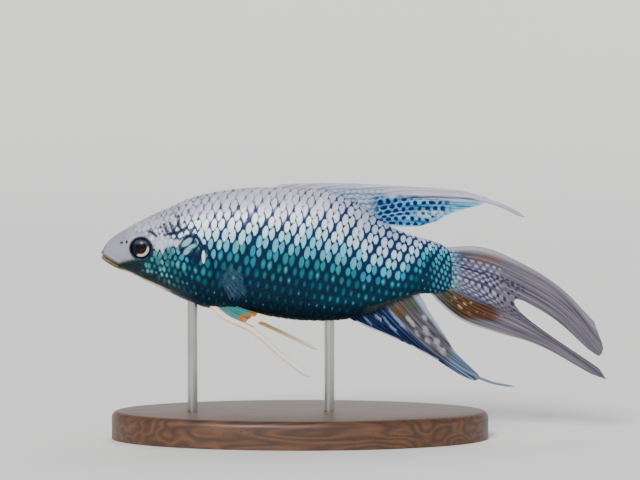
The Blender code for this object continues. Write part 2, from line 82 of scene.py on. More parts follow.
SWING_BY = 5.5
COAT_DEPTH = 0.1
COAT_FROM = (-31.0, -28.5)
GAPE_FRONT = (-35.6, 33.2)
GAPE_CORNER = (-32.1, 31.2)
LIP_RISE, LIP_OFFSET, LIP_SPREAD, LIP_FADE = 0.26, 0.4, 0.3, (0.75, 1.15)
GAPE_DEPTH, GAPE_SPREAD, GAPE_FADE = 0.24, 0.11, (1.0, 1.12)
EYE_AT = (-28.35, 34.5)
EYE_RADIUS = 1.95
ORBIT_DEPTH, ORBIT_WALL = 0.75, 0.16
ORBIT_RIM, ORBIT_RIM_OUT, ORBIT_RIM_SPREAD = 0.12, 0.42, 0.3
NOSTRILS = ((-31.9, 35.5), (-30.95, 35.65))
NOSTRIL_RADIUS, NOSTRIL_DEPTH = 0.24, 0.3
NOSTRIL_RIM, NOSTRIL_RIM_OUT, NOSTRIL_RIM_SPREAD = 0.07, 0.41, 0.13
GILL_MIDDLE, GILL_SPREAD, GILL_BULGE = (-19.1, 31.3), (3.6, 5.2), 0.22
CHEEK_MIDDLE, CHEEK_RADIUS, CHEEK_TURNS, CHEEK_FADE = (-27.2, 34.4), 4.9, (-1.75, 0.5), 0.3
LIP_FOLD = ((-32.3, 31.6), (-30.3, 33.0))
FOLD_DEPTH, FOLD_SPREAD = 0.13, 0.2


def eased(t, step, start, end, start_slope, end_slope):
    """A smooth run over a step from one value to the next, at its share t, with a slope at each end."""
    start = start * (1 + 2 * t) + start_slope * t * step
    end = end * (3 - 2 * t) - end_slope * (1 - t) * step
    return start * (1 - t) ** 2 + end * t**2


def smooth(places, values):
    """A function that runs smoothly through the rows of values, which belong to the given places."""
    places = np.asarray(places, float)
    values = np.asarray(values, float).reshape(len(places), -1)
    steps = np.diff(places)[:, None]
    slopes = np.diff(values, axis=0) / steps
    inner = (slopes[:-1] * steps[1:] + slopes[1:] * steps[:-1]) / (steps[:-1] + steps[1:])
    tangents = np.vstack((slopes[:1], inner, slopes[-1:]))

    def at(place):
        place = np.clip(np.atleast_1d(place), places[0], places[-1])
        k = np.clip(np.searchsorted(places, place, "right") - 1, 0, len(steps) - 1)
        step = steps[k]
        t = (place - places[k])[:, None] / step
        return eased(t, step, values[k], values[k + 1], tangents[k], tangents[k + 1])

    return at


def step_up(value, low, high):
    """0 below the low limit, 1 above the high one, and an even rise between them."""
    t = np.clip((value - low) / (high - low), 0.0, 1.0)
    return t * t * (3 - 2 * t)


station = smooth(range(len(STATIONS)), STATIONS)


def loft(share, turn):
    """Points of the plain body, at a share of its stations and a turn round it, 0 at the back."""
    x, back, belly, half_width = station(share * (len(STATIONS) - 1)).T
    level = belly + WIDEST_SHARE * (back - belly)
    up = np.cos(turn) >= 0
    power = np.where(up, BACK_ROUNDNESS, BELLY_ROUNDNESS)
    reach = np.where(up, back - level, level - belly)
    across = np.sign(np.sin(turn)) * half_width * np.abs(np.sin(turn)) ** power
    rise = np.sign(np.cos(turn)) * reach * np.abs(np.cos(turn)) ** power
    return np.stack((x, across, level + rise), axis=1)


def outward(share, turn):
    """The direction that the plain body's surface faces."""
    small = 1e-3
    lengthwise = loft(np.minimum(share + small, 1), turn) - loft(np.maximum(share - small, 0), turn)
    around = loft(share, turn + small) - loft(share, turn - small)
    facing = np.cross(lengthwise, around)
    length = np.linalg.norm(facing, axis=1, keepdims=True)
    ends = np.where((share < 0.5)[:, None], (-1.0, 0.0, 0.0), (1.0, 0.0, 0.0))
    return np.where(length > 1e-9, facing / np.maximum(length, 1e-9), ends)


def beside(x, z, start, end):
    """How far along a straight line of the side view each place is, as a share, and how far above it."""
    way_x, way_z = end[0] - start[0], end[1] - start[1]
    length = math.hypot(way_x, way_z)
    share = ((x - start[0]) * way_x + (z - start[1]) * way_z) / length**2
    return share, (way_x * (z - start[1]) - way_z * (x - start[0])) / length


def bell(away, spread):
    """1 on a middle line, falling off evenly on both sides of it."""
    return np.exp(-((away / spread) ** 2))


def relief(x, z):
    """How far the hide stands out of the plain body at its lips, folds, orbits, nostrils and gills."""
    share, above = beside(x, z, GAPE_FRONT, GAPE_CORNER)
    out = LIP_RISE * np.interp(share, LIP_FADE, (1, 0)) * bell(np.abs(above) - LIP_OFFSET, LIP_SPREAD)
    out -= GAPE_DEPTH * np.interp(share, GAPE_FADE, (1, 0)) * bell(above, GAPE_SPREAD)
    share, above = beside(x, z, *LIP_FOLD)
    out -= FOLD_DEPTH * np.clip(4 * share * (1 - share), 0, 1) * bell(above, FOLD_SPREAD)
    across, up = x - CHEEK_MIDDLE[0], z - CHEEK_MIDDLE[1]
    turn = np.arctan2(up, across)
    low, high = CHEEK_TURNS
    inside = step_up(turn, low, low + CHEEK_FADE) * step_up(-turn, -high, CHEEK_FADE - high)
    out -= FOLD_DEPTH * inside * bell(np.hypot(across, up) - CHEEK_RADIUS, FOLD_SPREAD)
    spread = np.hypot((x - GILL_MIDDLE[0]) / GILL_SPREAD[0], (z - GILL_MIDDLE[1]) / GILL_SPREAD[1])
    out += GILL_BULGE * np.exp(-(spread**4))
    for near_x, near_z in NOSTRILS:
        away = np.hypot(x - near_x, z - near_z)
        out -= NOSTRIL_DEPTH * bell(away, NOSTRIL_RADIUS)
        out += NOSTRIL_RIM * bell(away - NOSTRIL_RIM_OUT, NOSTRIL_RIM_SPREAD)
    away = np.hypot(x - EYE_AT[0], z - EYE_AT[1]) - EYE_RADIUS
    out -= ORBIT_DEPTH * (1 - step_up(away, -ORBIT_WALL, ORBIT_WALL))
    out += ORBIT_RIM * bell(away - ORBIT_RIM_OUT, ORBIT_RIM_SPREAD)
    return out - COAT_DEPTH * step_up(x, *COAT_FROM)


def swung(points):
    """Carries points to the far side with the swing of the tail, and turns millimetres to metres."""
    share = np.clip((points[:, 0] - SWING_FROM) / (SWING_TO - SWING_FROM), 0, None)
    return (points + np.outer(share**2, (0, SWING_BY, 0))) * MM


def on_hide(share, turn, lift=0.0):
    """Places on the finished hide, or above it by the lift."""
    points = loft(share, turn)
    rise = relief(points[:, 0], points[:, 2]) + lift
    return swung(points + outward(share, turn) * rise[:, None])


def deselect():
    bpy.ops.object.select_all(action="DESELECT")


def pick(first, *others):
    """Selects the given pieces alone, and makes the first one active."""
    deselect()
    for piece in (first, *others):
        piece.select_set(True)
    bpy.context.view_layer.objects.active = first


def corners(piece):
    """The places of a piece's points, as an array."""
    flat = np.empty(len(piece.data.vertices) * 3)
    piece.data.vertices.foreach_get("co", flat)
    return flat.reshape(-1, 3)


def move_to(piece, places):
    """Gives each point of a piece its new place."""
    piece.data.vertices.foreach_set("co", np.ascontiguousarray(places, float).ravel())
    piece.data.update()


def note(piece, name, values):
    """Writes a number on each point of a piece, for its finish to read."""
    layer = piece.data.attributes.new(name, "FLOAT", "POINT")
    layer.data.foreach_set("value", np.ascontiguousarray(values, np.float32))


def new_globe(sides, rings):
    """A globe to be shaped, its points, and each one's share of the way between the poles and its turn."""
    deselect()
    bpy.ops.mesh.primitive_uv_sphere_add(segments=sides, ring_count=rings, radius=1)
    points = corners(bpy.context.object)
    share = np.arccos(np.clip(points[:, 2], -1, 1)) / math.pi
    return bpy.context.object, points, share, np.arctan2(points[:, 1], points[:, 0])


def new_object(name, data):
    """An object of the scene that holds a mesh, a lamp or a lens."""
    made = bpy.data.objects.new(name, data)
    bpy.context.scene.collection.objects.link(made)
    return made


def face_out(piece):
    """Turns every face of a closed piece outwards."""
    pick(piece)
    bpy.ops.object.mode_set(mode="EDIT")
    bpy.ops.mesh.select_all(action="SELECT")
    bpy.ops.mesh.normals_make_consistent(inside=False)
    bpy.ops.object.mode_set(mode="OBJECT")


def fit(piece, name, finish, slot, *nodes):
    """Names a finished piece, paints it and fixes it to the model in place of the named solids."""
    pick(piece)
    bpy.ops.object.shade_smooth_by_angle(angle=CREASE)
    piece.name = name
    piece.data.name = name
    piece.data.materials.clear()
    piece.data.materials.append(finish)
    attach(piece, "root")
    if nodes:
        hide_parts(*nodes)


class Wire:
    """A value on its way through a finish. Python's own signs add the nodes that work it out."""

    def __init__(self, tree, socket=None):
        self.tree = tree
        self.socket = socket

    def add(self, kind, settings=(), sockets=(), take=0):
        """Adds a node: its settings come first, then its sockets. Gives the wire of one of its outputs."""
        node = self.tree.nodes.new(kind)
        for name, value in dict(settings).items():
            if name != "stops":
                setattr(node, name, value)
                continue
            stops = node.color_ramp.elements
            while len(stops) < len(value):
                stops.new(0.5)
            for stop, (place, colour) in zip(stops, value):
                stop.position = place
                stop.color = colour
        for name, value in dict(sockets).items():
            if isinstance(value, Wire):
                self.tree.links.new(value.socket, node.inputs[name])
            else:
                node.inputs[name].default_value = value
        return None if take is None else Wire(self.tree, node.outputs[take])

    def also(self, name):
        """Another output of the node that this wire comes from."""
        return Wire(self.tree, self.socket.node.outputs[name])

    def sum(self, operation, *values):
        return self.add("ShaderNodeMath", {"operation": operation}, enumerate(values))

    def __add__(self, other):
        return self.sum("ADD", self, other)

    def __sub__(self, other):
        return self.sum("SUBTRACT", self, other)

    def __rsub__(self, other):
        return self.sum("SUBTRACT", other, self)

    def __mul__(self, other):
        return self.sum("MULTIPLY", self, other)

    def __truediv__(self, other):
        return self.sum("DIVIDE", self, other)

    def __pow__(self, other):
        return self.sum("POWER", self, other)

    __radd__ = __add__
    __rmul__ = __mul__

    def least(self, other):
        return self.sum("MINIMUM", self, other)

    def most(self, other):
        return self.sum("MAXIMUM", self, other)

    def size(self):
        return self.sum("ABSOLUTE", self)

    def part(self):
        """What is left of a number once its whole part is taken off."""
        return self.sum("FRACT", self)

    def rise(self, low, high):
        """An even rise from 0 at one limit to 1 at the other. It falls where the limits run down."""
        sockets = {"Value": self, "From Min": low, "From Max": high}
        return self.add("ShaderNodeMapRange", {"interpolation_type": "SMOOTHSTEP"}, sockets)

    def within(self, low, full, still, gone):
        """1 between the two middle limits, with an even rise before them and an even fall behind them."""
        return self.rise(low, full) * self.rise(gone, still)

    def off_middle(self):
        """How far a number is from the middle of its unit: 0.5 where it is whole, and 0 halfway."""
        return (self.part() - 0.5).size()

    def blend(self, first, second):
        """One colour where this wire is 0, running to the other where it is 1."""
        sockets = {0: self, 6: first, 7: second}
        return self.add("ShaderNodeMix", {"data_type": "RGBA"}, sockets, 2)

    def ramp(self, *stops):
        return self.add("ShaderNodeValToRGB", {"stops": stops}, {"Fac": self})

    def noise(self, where, scale, detail=2.0, rough=0.5):
        sockets = {"Vector": where, "Scale": scale, "Detail": detail, "Roughness": rough}
        return self.add("ShaderNodeTexNoise", (), sockets)

    def waver(self, where, scale, by):
        """A number that wavers round 0 over the surface."""
        return by * (self.noise(where, scale) - 0.5)

    def read(self, name):
        """A number that is written on the piece's points."""
        return self.add("ShaderNodeAttribute", {"attribute_name": name}, (), "Fac")

    def split(self, vector):
        x = self.add("ShaderNodeSeparateXYZ", (), {0: vector})
        return x, x.also("Y"), x.also("Z")

    def side(self, where):
        """The x and the z of a place, in millimetres of the side view."""
        x, _, z = self.split(where)
        return x / MM, z / MM

    def stretch(self, where, *scale):
        """A place whose three numbers are scaled: a pattern is drawn out along those that grow small."""
        return self.add("ShaderNodeMapping", (), {"Vector": where, "Scale": scale})

    def bump(self, strength, distance, height):
        """A height that the surface stands out by, for a shader's Normal. The distance is in millimetres."""
        sockets = {"Strength": strength, "Distance": distance * MM, "Height": height}
        return self.add("ShaderNodeBump", (), sockets)


def new_finish(name):
    """An empty finish, as the wire that its nodes are added with, and its object coordinates in metres."""
    made = bpy.data.materials.new(name)
    made.use_nodes = True
    made.node_tree.nodes.clear()
    wire = Wire(made.node_tree)
    return made, wire, wire.add("ShaderNodeTexCoord", (), (), "Object")


def lacquer(wire, colour, sockets):
    """The painted surface: a Principled shader of the given colour, with its other sockets' values."""
    shader = wire.add("ShaderNodeBsdfPrincipled", (), {"Base Color": colour, **sockets}, "BSDF")
    wire.add("ShaderNodeOutputMaterial", (), {"Surface": shader}, None)


# Moist skin mirrors little light, so the lacquer over all of the fish's paint is weak and bluish.
MOIST = {
    "Specular IOR Level": 0.2,
    "Specular Tint": (0.4, 0.65, 1.0, 1.0),
    "Coat Weight": 0.05,
    "Coat Roughness": 0.2,
}


def tint(red, green, blue):
    """A paint's colour from its 0 to 255 values on a screen, as a shader takes it."""
    light = (((value / 255 + 0.055) / 1.055) ** 2.4 for value in (red, green, blue))
    return (*light, 1.0)


SHADE_FROM_BELOW = (0.0, 0.13, 0.26, 0.38, 0.50, 0.60, 0.72, 0.88, 1.0)
SCALE_PAINTS = [tint(*paint) for paint in (
    (6, 34, 54), (14, 64, 84), (12, 66, 86), (14, 86, 104), (36, 126, 146),
    (140, 206, 222), (222, 240, 246), (212, 212, 226), (186, 184, 204),
)]
NET_PAINTS = [tint(*paint) for paint in (
    (1, 10, 22), (1, 15, 29), (1, 21, 38), (1, 25, 46), (1, 30, 56),
    (2, 38, 70), (4, 40, 78), (26, 52, 92), (56, 66, 98),
)]
REAR_PAINT = tint(70, 150, 200)
REAR_NET_PAINT = tint(6, 38, 76)
TEAL_LINE_PAINT = tint(50, 130, 146)
TEAL_NET_PAINT = tint(6, 52, 78)
SEAM_PAINT = tint(2, 26, 52)
TAIL_BASE_PAINT = tint(84, 150, 176)
FIN_FOOT_PAINT = tint(62, 68, 58)
BROW_PAINT = tint(160, 158, 172)
BROW_SCALE_PAINT = tint(186, 188, 200)
SNOUT_PAINT = tint(150, 148, 162)
CHEEK_PAINT = tint(4, 44, 52)
CHEEK_SCALE_PAINT = tint(34, 92, 98)
CHEEK_BRIGHT_PAINT = tint(104, 160, 164)
THROAT_PAINT = tint(8, 24, 22)
LIP_PAINT = tint(108, 98, 76)
JAW_PAINT = tint(112, 102, 44)
# A painted highlight for the edges of the throat under the jaw.
THROAT_HIGHLIGHT_PAINT = tint(244, 236, 190)
STRIPE_PAINT = tint(188, 194, 204)
DASH_PAINT = tint(8, 42, 64)
# Painted shade for the corner of the mouth.
CORNER_SHADE_PAINT = tint(16, 22, 26)
TILE_PAINT = tint(128, 176, 184)
SPOT_PAINT = tint(2, 20, 46)
BAR_PAINT = tint(236, 230, 208)
# The black strokes of the head, as corners of the side view. A stroke ends where None stands.
STROKES = (
    (-26.8, 37.7), (-25.5, 36.8), None,
    (-24.3, 38.7), (-23.6, 37.6), None,
    (-23.1, 39.1), (-22.4, 37.5), None,
    (-24.0, 37.0), (-21.4, 37.5), (-20.2, 38.3), None,
    (-21.6, 40.3), (-21.4, 38.3), None,
    (-21.0, 35.5), (-20.2, 36.8), (-18.7, 37.2), (-17.5, 35.6), (-16.6, 34.0), (-15.3, 32.3),
)
STROKE_WIDTH = 0.42
# The slant of the two large tiles over the dark spot: its cosine and its sine.
TILES_SLANT = (0.78, -0.62)


def spot_at(x, z, middle, radii, soft=0.35):
    """1 inside an oval of the side view, fading to 0 at its edge."""
    away = ((x - middle[0]) / radii[0]) ** 2 + ((z - middle[1]) / radii[1]) ** 2
    return away.rise(1 + soft, 1 - soft)


def stroke_at(x, z, start, end, width):
    """1 on a straight stroke of the side view, fading to 0 at its edge."""
    way_x, way_z = end[0] - start[0], end[1] - start[1]
    x, z = x - start[0], z - start[1]
    share = ((x * way_x + z * way_z) / (way_x**2 + way_z**2)).most(0.0).least(1.0)
    away = ((x - share * way_x) * (x - share * way_x) + (z - share * way_z) * (z - share * way_z)) ** 0.5
    return away.rise(width, 0.4 * width)


def turned(x, z, cosine, sine):
    """A place of the side view, turned so that a slanting pattern lies level."""
    return cosine * x - sine * z, sine * x + cosine * z


def paint_over(colour, coats):
    """Lays coats over a colour in turn. A coat is its strength, the place it lies on, and its paint."""
    for strength, place, paint in coats:
        if strength:
            colour = (place if strength == 1 else strength * place).blend(colour, paint)
    return colour


def flank_coats(x, z, height):
    """The flank's coats: each one's strength on the scales' middles and on the net, place and paint."""
    teal_line = (z - 0.05 * x - 25.0).size().rise(1.4, 0.3) * x.within(0, 6, 18, 21)
    fin_foot = (z - 0.2875 * x).rise(20.55, 20.15) * x.within(10.5, 13, 21.5, 22.5)
    return (
        (0.3, 0, x.rise(2, 14) * height.rise(0.4, 0.5), REAR_PAINT),
        (0.6, 0, teal_line, TEAL_LINE_PAINT),
        (0, 0.4, teal_line.most(0.6 * x.rise(13, 18)) * height.rise(0.55, 0.4), TEAL_NET_PAINT),
        (0.7, 0, x.rise(22.8, 25.0), TAIL_BASE_PAINT),
        (0, 0.9, x.rise(3, 14) * height.within(0.55, 0.75, 0.98, 1.08), REAR_NET_PAINT),
        (0.55, 1, (x - 0.28 * z - 14.3).size().rise(0.6, 0.1) * z.rise(34.8, 32.8), SEAM_PAINT),
        (0.8, 0.8, fin_foot, FIN_FOOT_PAINT),
    )


def face_coats(x, z, height, wander, breaks):
    """The same for the head: teal cheeks, and a lavender brow whose net breaks up into dashes."""
    cheek = x.rise(-19.5, -24.5) * (height + 0.06 * wander).rise(0.64, 0.58)
    brow = x.rise(-20.5, -25) * (height + 0.05 * wander).rise(0.57, 0.63)
    dashes = breaks * x.within(-28.5, -25.5, -20, -17)
    dashes = dashes * (z + 0.25 * x).rise(29.6, 30.4) * (z + 0.6 * x).rise(28, 26)
    return (
        (1, 0, cheek, wander.rise(-0.35, 0.3).blend(CHEEK_SCALE_PAINT, CHEEK_BRIGHT_PAINT)),
        (0, 1, cheek, CHEEK_PAINT),
        (0.75, 0, brow, BROW_SCALE_PAINT),
        (0, 1, brow, BROW_PAINT),
        (0, 1, dashes, DASH_PAINT),
    )


def temple_coats(x, z, wander):
    """The same for the pale stripe behind the eye, the black strokes over the temple and the gill cover's
    upper edge, and the two large slanting tiles above the dark spot, pale in a black outline."""
    slant_x, slant_z = turned(x, z, *TILES_SLANT)
    strokes = spot_at(slant_x, slant_z, (6.24, 39.66), (1.85, 1.45), 0.2)
    tiles = spot_at(slant_x, slant_z, (6.49, 40.27), (1.1, 0.5), 0.4)
    tiles = tiles.most(spot_at(slant_x, slant_z, (6.09, 39.01), (1.4, 0.52), 0.4))
    for start, end in zip(STROKES, STROKES[1:]):
        if start and end:
            strokes = strokes.most(stroke_at(x + 0.3 * wander, z + 0.2 * wander, start, end, STROKE_WIDTH))
    return (
        (0.85, 0.6, spot_at(x, z + 0.5 * wander, (-23.7, 35.6), (3.2, 0.8), 0.5), STRIPE_PAINT),
        (0.92, 1, strokes, SPOT_PAINT),
        (1, 1, tiles, TILE_PAINT),
    )


def mouth_coats(x, y, z, height, wander):
    """The same for the snout, throat, lips, yellow lower jaw, painted shade at mouth and nostrils, and a
    painted highlight under it.
    """
    snout = (x + 0.25 * z).rise(-20.6, -22.2) * (z - 0.45 * x).rise(45.2, 46.6)
    throat = x.rise(-19.5, -24.5) * (height + 0.04 * wander).rise(0.34, 0.24)
    slope = (GAPE_FRONT[1] - GAPE_CORNER[1]) / (GAPE_FRONT[0] - GAPE_CORNER[0])
    gape = z - (x * slope + GAPE_CORNER[1] - GAPE_CORNER[0] * slope)
    lip = (gape.rise(0.75, 0.45) * x.rise(-31.6, -32.4)).most((x - 0.3 * (z - 34)).rise(-34.9, -35.3))
    # Painted shade on the upper lip behind the corner of the mouth, under the eye.
    corner_shade = spot_at(x, z, (-30.0, 31.3), (2.2, 1.1), 0.6) * gape.rise(-0.3, 0.3)
    # A painted highlight along the throat's two edges under the jaw, bright enough to show where the throat
    # faces down.
    throat_highlight = x.rise(-22.5, -25) * height.rise(0.155, 0.125) * y.size().rise(0.5, 1.1)
    # Painted shade along the gape, at the mouth's corner and in the two nostrils, in the throat's dark
    # paint.
    dark = spot_at(x, z, (-32.0, 31.3), (0.6, 0.35)).most(gape.size().rise(0.2, 0.05) * x.rise(-31.6, -32.2))
    dark = dark.most(spot_at(x, z, NOSTRILS[0], (0.3, 0.22))).most(spot_at(x, z, NOSTRILS[1], (0.2, 0.28)))
    return (
        (1, 1, snout, SNOUT_PAINT),
        (0.85, 1, throat, THROAT_PAINT),
        (0, 1, lip, LIP_PAINT),
        (0, 1, x.rise(-30.4, -31.6) * gape.rise(0.12, -0.12), JAW_PAINT),
        (0.9, 0.9, corner_shade, CORNER_SHADE_PAINT),
        (0, 1, throat_highlight, THROAT_HIGHLIGHT_PAINT),
        (0, 1, dark, THROAT_PAINT),
    )


def gill_coats(x, z):
    """The same for the gill cover's dark spot, with the pale bar behind it."""
    return (
        (0.93, 1, spot_at(x, z, (-18.55, 33.3), (1.2, 1.5)), SPOT_PAINT),
        (1, 1, spot_at(x, z, (-17.1, 33.1), (0.3, 1.15), 0.2), BAR_PAINT),
    )


def hide_colours(wire, where, height):
    """The colours of a scale's middle and of the net between the scales, at a place of the side view."""
    x, y, z = (value / MM for value in wire.split(where))
    wander = wire.noise(where, 420.0).rise(0.3, 0.7) - 0.5
    coats = (
        *flank_coats(x, z, height),
        *face_coats(x, z, height, wander, wire.noise(where, 900.0, 1.0).rise(0.50, 0.56)),
        *temple_coats(x, z, wander),
        *mouth_coats(x, y, z, height, wander),
        *gill_coats(x, z),
    )
    middle = height.ramp(*zip(SHADE_FROM_BELOW, SCALE_PAINTS))
    net = height.ramp(*zip(SHADE_FROM_BELOW, NET_PAINTS))
    return (
        paint_over(middle, [(strength, *rest) for strength, _, *rest in coats]),
        paint_over(net, [(strength, *rest) for _, strength, *rest in coats]),
    )


# How far down the pale paint of the back reaches along the body: it is moved by so much low and high on it.
REACH_AT = (-24, -12, 0, 9, 14, 17.5, 20.5, 23)
REACH_LOW = (0.1, 0.0, 0.0, 0.05, 0.08, 0.13, 0.2, 0.22)
REACH_HIGH = (0.05, 0.0, 0.0, 0.04, 0.12, 0.16, -0.2, -0.5)


def height_of(share, z):
    """How high a place is from the belly, 0, to the back, 1, moved by how far down the pale paint comes."""
    x, back, belly, _ = station(share * (len(STATIONS) - 1)).T
    height = np.clip((z - belly) / np.maximum(back - belly, 0.01), 0, 1)
    low, high = np.interp(x, REACH_AT, REACH_LOW), np.interp(x, REACH_AT, REACH_HIGH)
    return height + low * (1 - height) + high * height * (1 - height**6)


hide, _, hide_share, hide_turn = new_globe(SKIN_SIDES, SKIN_RINGS)
note(hide, "height", height_of(hide_share, loft(hide_share, hide_turn)[:, 2]))
move_to(hide, on_hide(hide_share, hide_turn))
hide.data.uv_layers[0].name = "OFBake"
face_out(hide)

hide_finish, wire, where = new_finish("hide_finish")
middle, net = hide_colours(wire, where, wire.read("height"))
mottle = wire.noise(where, 1500.0, 3.0).rise(0.35, 0.7)
fine = wire.noise(where, 5200.0, 2.0)
freckle = wire.noise(where, 2600.0, 2.0).rise(0.58, 0.72)
colour = paint_over(net, ((0.45, mottle, middle), (0.25, freckle, CHEEK_PAINT)))
lacquer(wire, colour, MOIST | {
    "Roughness": 0.36 + 0.2 * fine,
    "Normal": wire.bump(0.35, 0.08, mottle + 0.5 * fine),
})
fit(hide, "hide", hide_finish, "trunk_skin", "head", "lower_jaw", "trunk", "tail_root")

# The gill covers: thin curved plates, one on each side. Each one's front is let into the cheek, and its rear
# edge stands off the flank as a lid does.
GILL_COVER = (
    (-20.9, 35.9),
    (-18.7, 36.4),
    (-17.0, 35.1),
    (-15.8, 33.0),
    (-15.2, 31.1),
    (-16.1, 29.0),
    (-17.9, 27.2),
    (-19.8, 26.3),
    (-21.6, 26.6),
    (-22.5, 28.4),
    (-22.1, 30.8),
    (-21.6, 33.4),
)
SIDES = (("left", -1), ("right", 1))
COVER_SIDES, COVER_RINGS, COVER_OUTLINE_POINTS = 96, 40, 400
COVER_LIFT = 0.34
COVER_FACE, COVER_SUNK = 0.12, 0.3
COVER_MIDDLE = np.mean(GILL_COVER, axis=0)
outline = smooth(range(3 * len(GILL_COVER)), GILL_COVER * 3)
outline = outline(np.linspace(len(GILL_COVER), 2 * len(GILL_COVER), COVER_OUTLINE_POINTS)) - COVER_MIDDLE
outline = outline[np.argsort(np.arctan2(outline[:, 1], outline[:, 0]))]
outline_angle = np.arctan2(outline[:, 1], outline[:, 0])
outline_reach = np.hypot(*outline.T)
# The hide's station shares close together with the x of each, for finding a place on it again.
all_shares = np.linspace(0, 1, 2001)
all_x = station(all_shares * (len(STATIONS) - 1))[:, 0]


def cover_reach(x, z):
    """How far out on the gill cover a place of the side view is: 1 on its edge."""
    x, z = x - COVER_MIDDLE[0], z - COVER_MIDDLE[1]
    edge = np.interp(np.arctan2(z, x), outline_angle, outline_reach, period=2 * math.pi)
    return np.hypot(x, z) / edge


def cover_lift(x):
    """How far the gill cover stands off the hide: nothing at its front, most at its rear edge."""
    return COVER_LIFT * step_up(x, GILL_COVER[9][0], GILL_COVER[3][0])


def on_side(x, z):
    """The station share and the turn at which the plain body's flank passes a place of the side view."""
    share = np.interp(x, all_x, all_shares)
    _, back, belly, _ = station(share * (len(STATIONS) - 1)).T
    level = belly + WIDEST_SHARE * (back - belly)
    up = z >= level
    reach = np.where(up, back - level, level - belly)
    power = np.where(up, BACK_ROUNDNESS, BELLY_ROUNDNESS)
    cosine = np.clip(np.abs(z - level) / reach, 0, 1) ** (1 / power)
    return share, np.arccos(np.where(up, cosine, -cosine))


cover_finish, wire, where = new_finish("gill_cover_finish")
height = wire.read("height")
middle, net = hide_colours(wire, where, height)
mottle = wire.noise(where, 1200.0, 3.0).rise(0.3, 0.7)
edge = wire.read("reach").rise(0.90, 0.97) * (1 - height.rise(0.62, 0.72))
colour = paint_over(net, ((0.4, mottle, middle), (1, edge, SPOT_PAINT)))
lacquer(wire, colour, MOIST | {
    "Roughness": 0.34 + 0.15 * mottle,
    "Normal": wire.bump(0.2, 0.05, mottle),
})
for word, side in SIDES:
    cover, _, polar, angle = new_globe(COVER_SIDES, COVER_RINGS)
    reach = (2 * np.minimum(polar, 1 - polar)) ** 0.8
    way = np.interp(angle, outline_angle, outline_reach, period=2 * math.pi) * reach
    x = COVER_MIDDLE[0] + way * np.cos(angle)
    z = COVER_MIDDLE[1] + way * np.sin(angle)
    thick = np.sqrt(np.clip(1 - reach**8, 0, 1))
    lift = cover_lift(x) - COVER_FACE + np.where(polar <= 0.5, COVER_FACE, -COVER_SUNK) * thick
    share, turn = on_side(x, z)
    move_to(cover, on_hide(share, side * turn, lift))
    note(cover, "height", height_of(share, z))
    note(cover, "reach", reach)
    face_out(cover)
    fit(cover, f"gill_cover_{word}_plate", cover_finish, "gill_cover_skin", f"gill_cover_{word}")

# The scales: thin overlapping plates in slanting rows, each laid by hand on the hide with its rear edge
# free. A scale's middle is painted pale and its rim dark, so that the rims make a net over the flank.
# All lengths here are in millimetres, and a scale's own are shares of its pitch and spacing.
SCALE_COLUMNS, SCALE_LINES = 6, 5
SCALE_FRONT, SCALE_REAR = 0.8, 0.5
SCALE_THICKNESS = 0.05
SCALE_LOW, SCALE_HIGH, SCALE_DOME = -0.08, 0.11, 0.04
# Along the body: the scales' pitch in a row, the rows' spacing, how the rows fall towards the tail, and how
# the columns lean, all in millimetres of the side view.
SCALE_LAYOUT = smooth(
    (-34.0, -30.0, -26.0, -22.0, -18.0, -14.0, 0.0, 12.0, 18.0, 22.0, 25.0, 28.0),
    (
        (0.62, 0.80, 0.00, 0.00),
        (0.72, 0.88, 0.00, 0.00),
        (0.86, 1.05, 0.02, 0.02),
        (1.04, 1.30, 0.06, 0.06),
        (1.26, 1.60, 0.13, 0.12),
        (1.42, 1.82, 0.18, 0.17),
        (1.40, 1.90, 0.14, 0.17),
        (1.34, 1.82, 0.10, 0.17),
        (1.28, 1.74, 0.08, 0.15),
        (1.12, 1.50, 0.06, 0.10),
        (0.86, 1.12, 0.04, 0.05),
        (0.72, 0.90, 0.00, 0.00),
    ),
)
FIRST_SCALE, LAST_SCALE = -31.0, 26.9
LAY_STEP = 0.02
FULL_PITCH = 1.4
SCALE_LINE_REACH = 11
VIVID_PAINT = tint(40, 168, 206)
GREEN_PAINT = tint(44, 130, 118)
GLINT_PAINT = tint(96, 176, 188)
BROKEN_NET_PAINT = tint(150, 150, 168)
SOFT_NET_PAINT = tint(8, 62, 84)
rng = np.random.default_rng(7)

# The hide again, unrolled: how far round from its widest level each turn is, at every station share.
turns = np.linspace(-0.6, math.pi + 0.6, 481)
arc_shares = np.linspace(0.002, 0.998, 500)
spans = np.linspace(-17, 17, 681)
turn_at_span = np.empty((len(arc_shares), len(spans)))
back_span = np.empty(len(arc_shares))
belly_span = np.empty(len(arc_shares))
for number, share in enumerate(arc_shares):
    ring = loft(np.full(len(turns), share), turns)
    way = np.concatenate(([0], np.cumsum(np.linalg.norm(np.diff(ring, axis=0), axis=1))))
    span = np.interp(math.pi / 2, turns, way) - way
    turn_at_span[number] = np.interp(spans, span[::-1], turns[::-1])
    back_span[number] = np.interp(0, turns, span)
    belly_span[number] = np.interp(math.pi, turns, span)


def unrolled(x, span):
    """The station share and the turn of a place given by its x and by how far round the hide it is."""
    share = np.interp(x, all_x, all_shares)
    row = np.interp(share, arc_shares, np.arange(len(arc_shares)))
    low = np.minimum(row.astype(int), len(arc_shares) - 2)
    column = np.interp(span, spans, np.arange(len(spans)))
    left = np.minimum(column.astype(int), len(spans) - 2)
    row, column = row - low, column - left
    first = turn_at_span[low, left] * (1 - column) + turn_at_span[low, left + 1] * column
    second = turn_at_span[low + 1, left] * (1 - column) + turn_at_span[low + 1, left + 1] * column
    return share, first * (1 - row) + second * row


lay_x = np.linspace(-36, 30, 3301)
pitch, spacing, fall, lean = SCALE_LAYOUT(lay_x).T
lay_count = np.cumsum(LAY_STEP / pitch)
lay_fall = -np.cumsum(LAY_STEP * fall)
lay_fall -= np.interp(-22, lay_x, lay_fall)
first_count = math.floor(np.interp(FIRST_SCALE - 3, lay_x, lay_count))
last_count = math.ceil(np.interp(LAST_SCALE + 3, lay_x, lay_count))


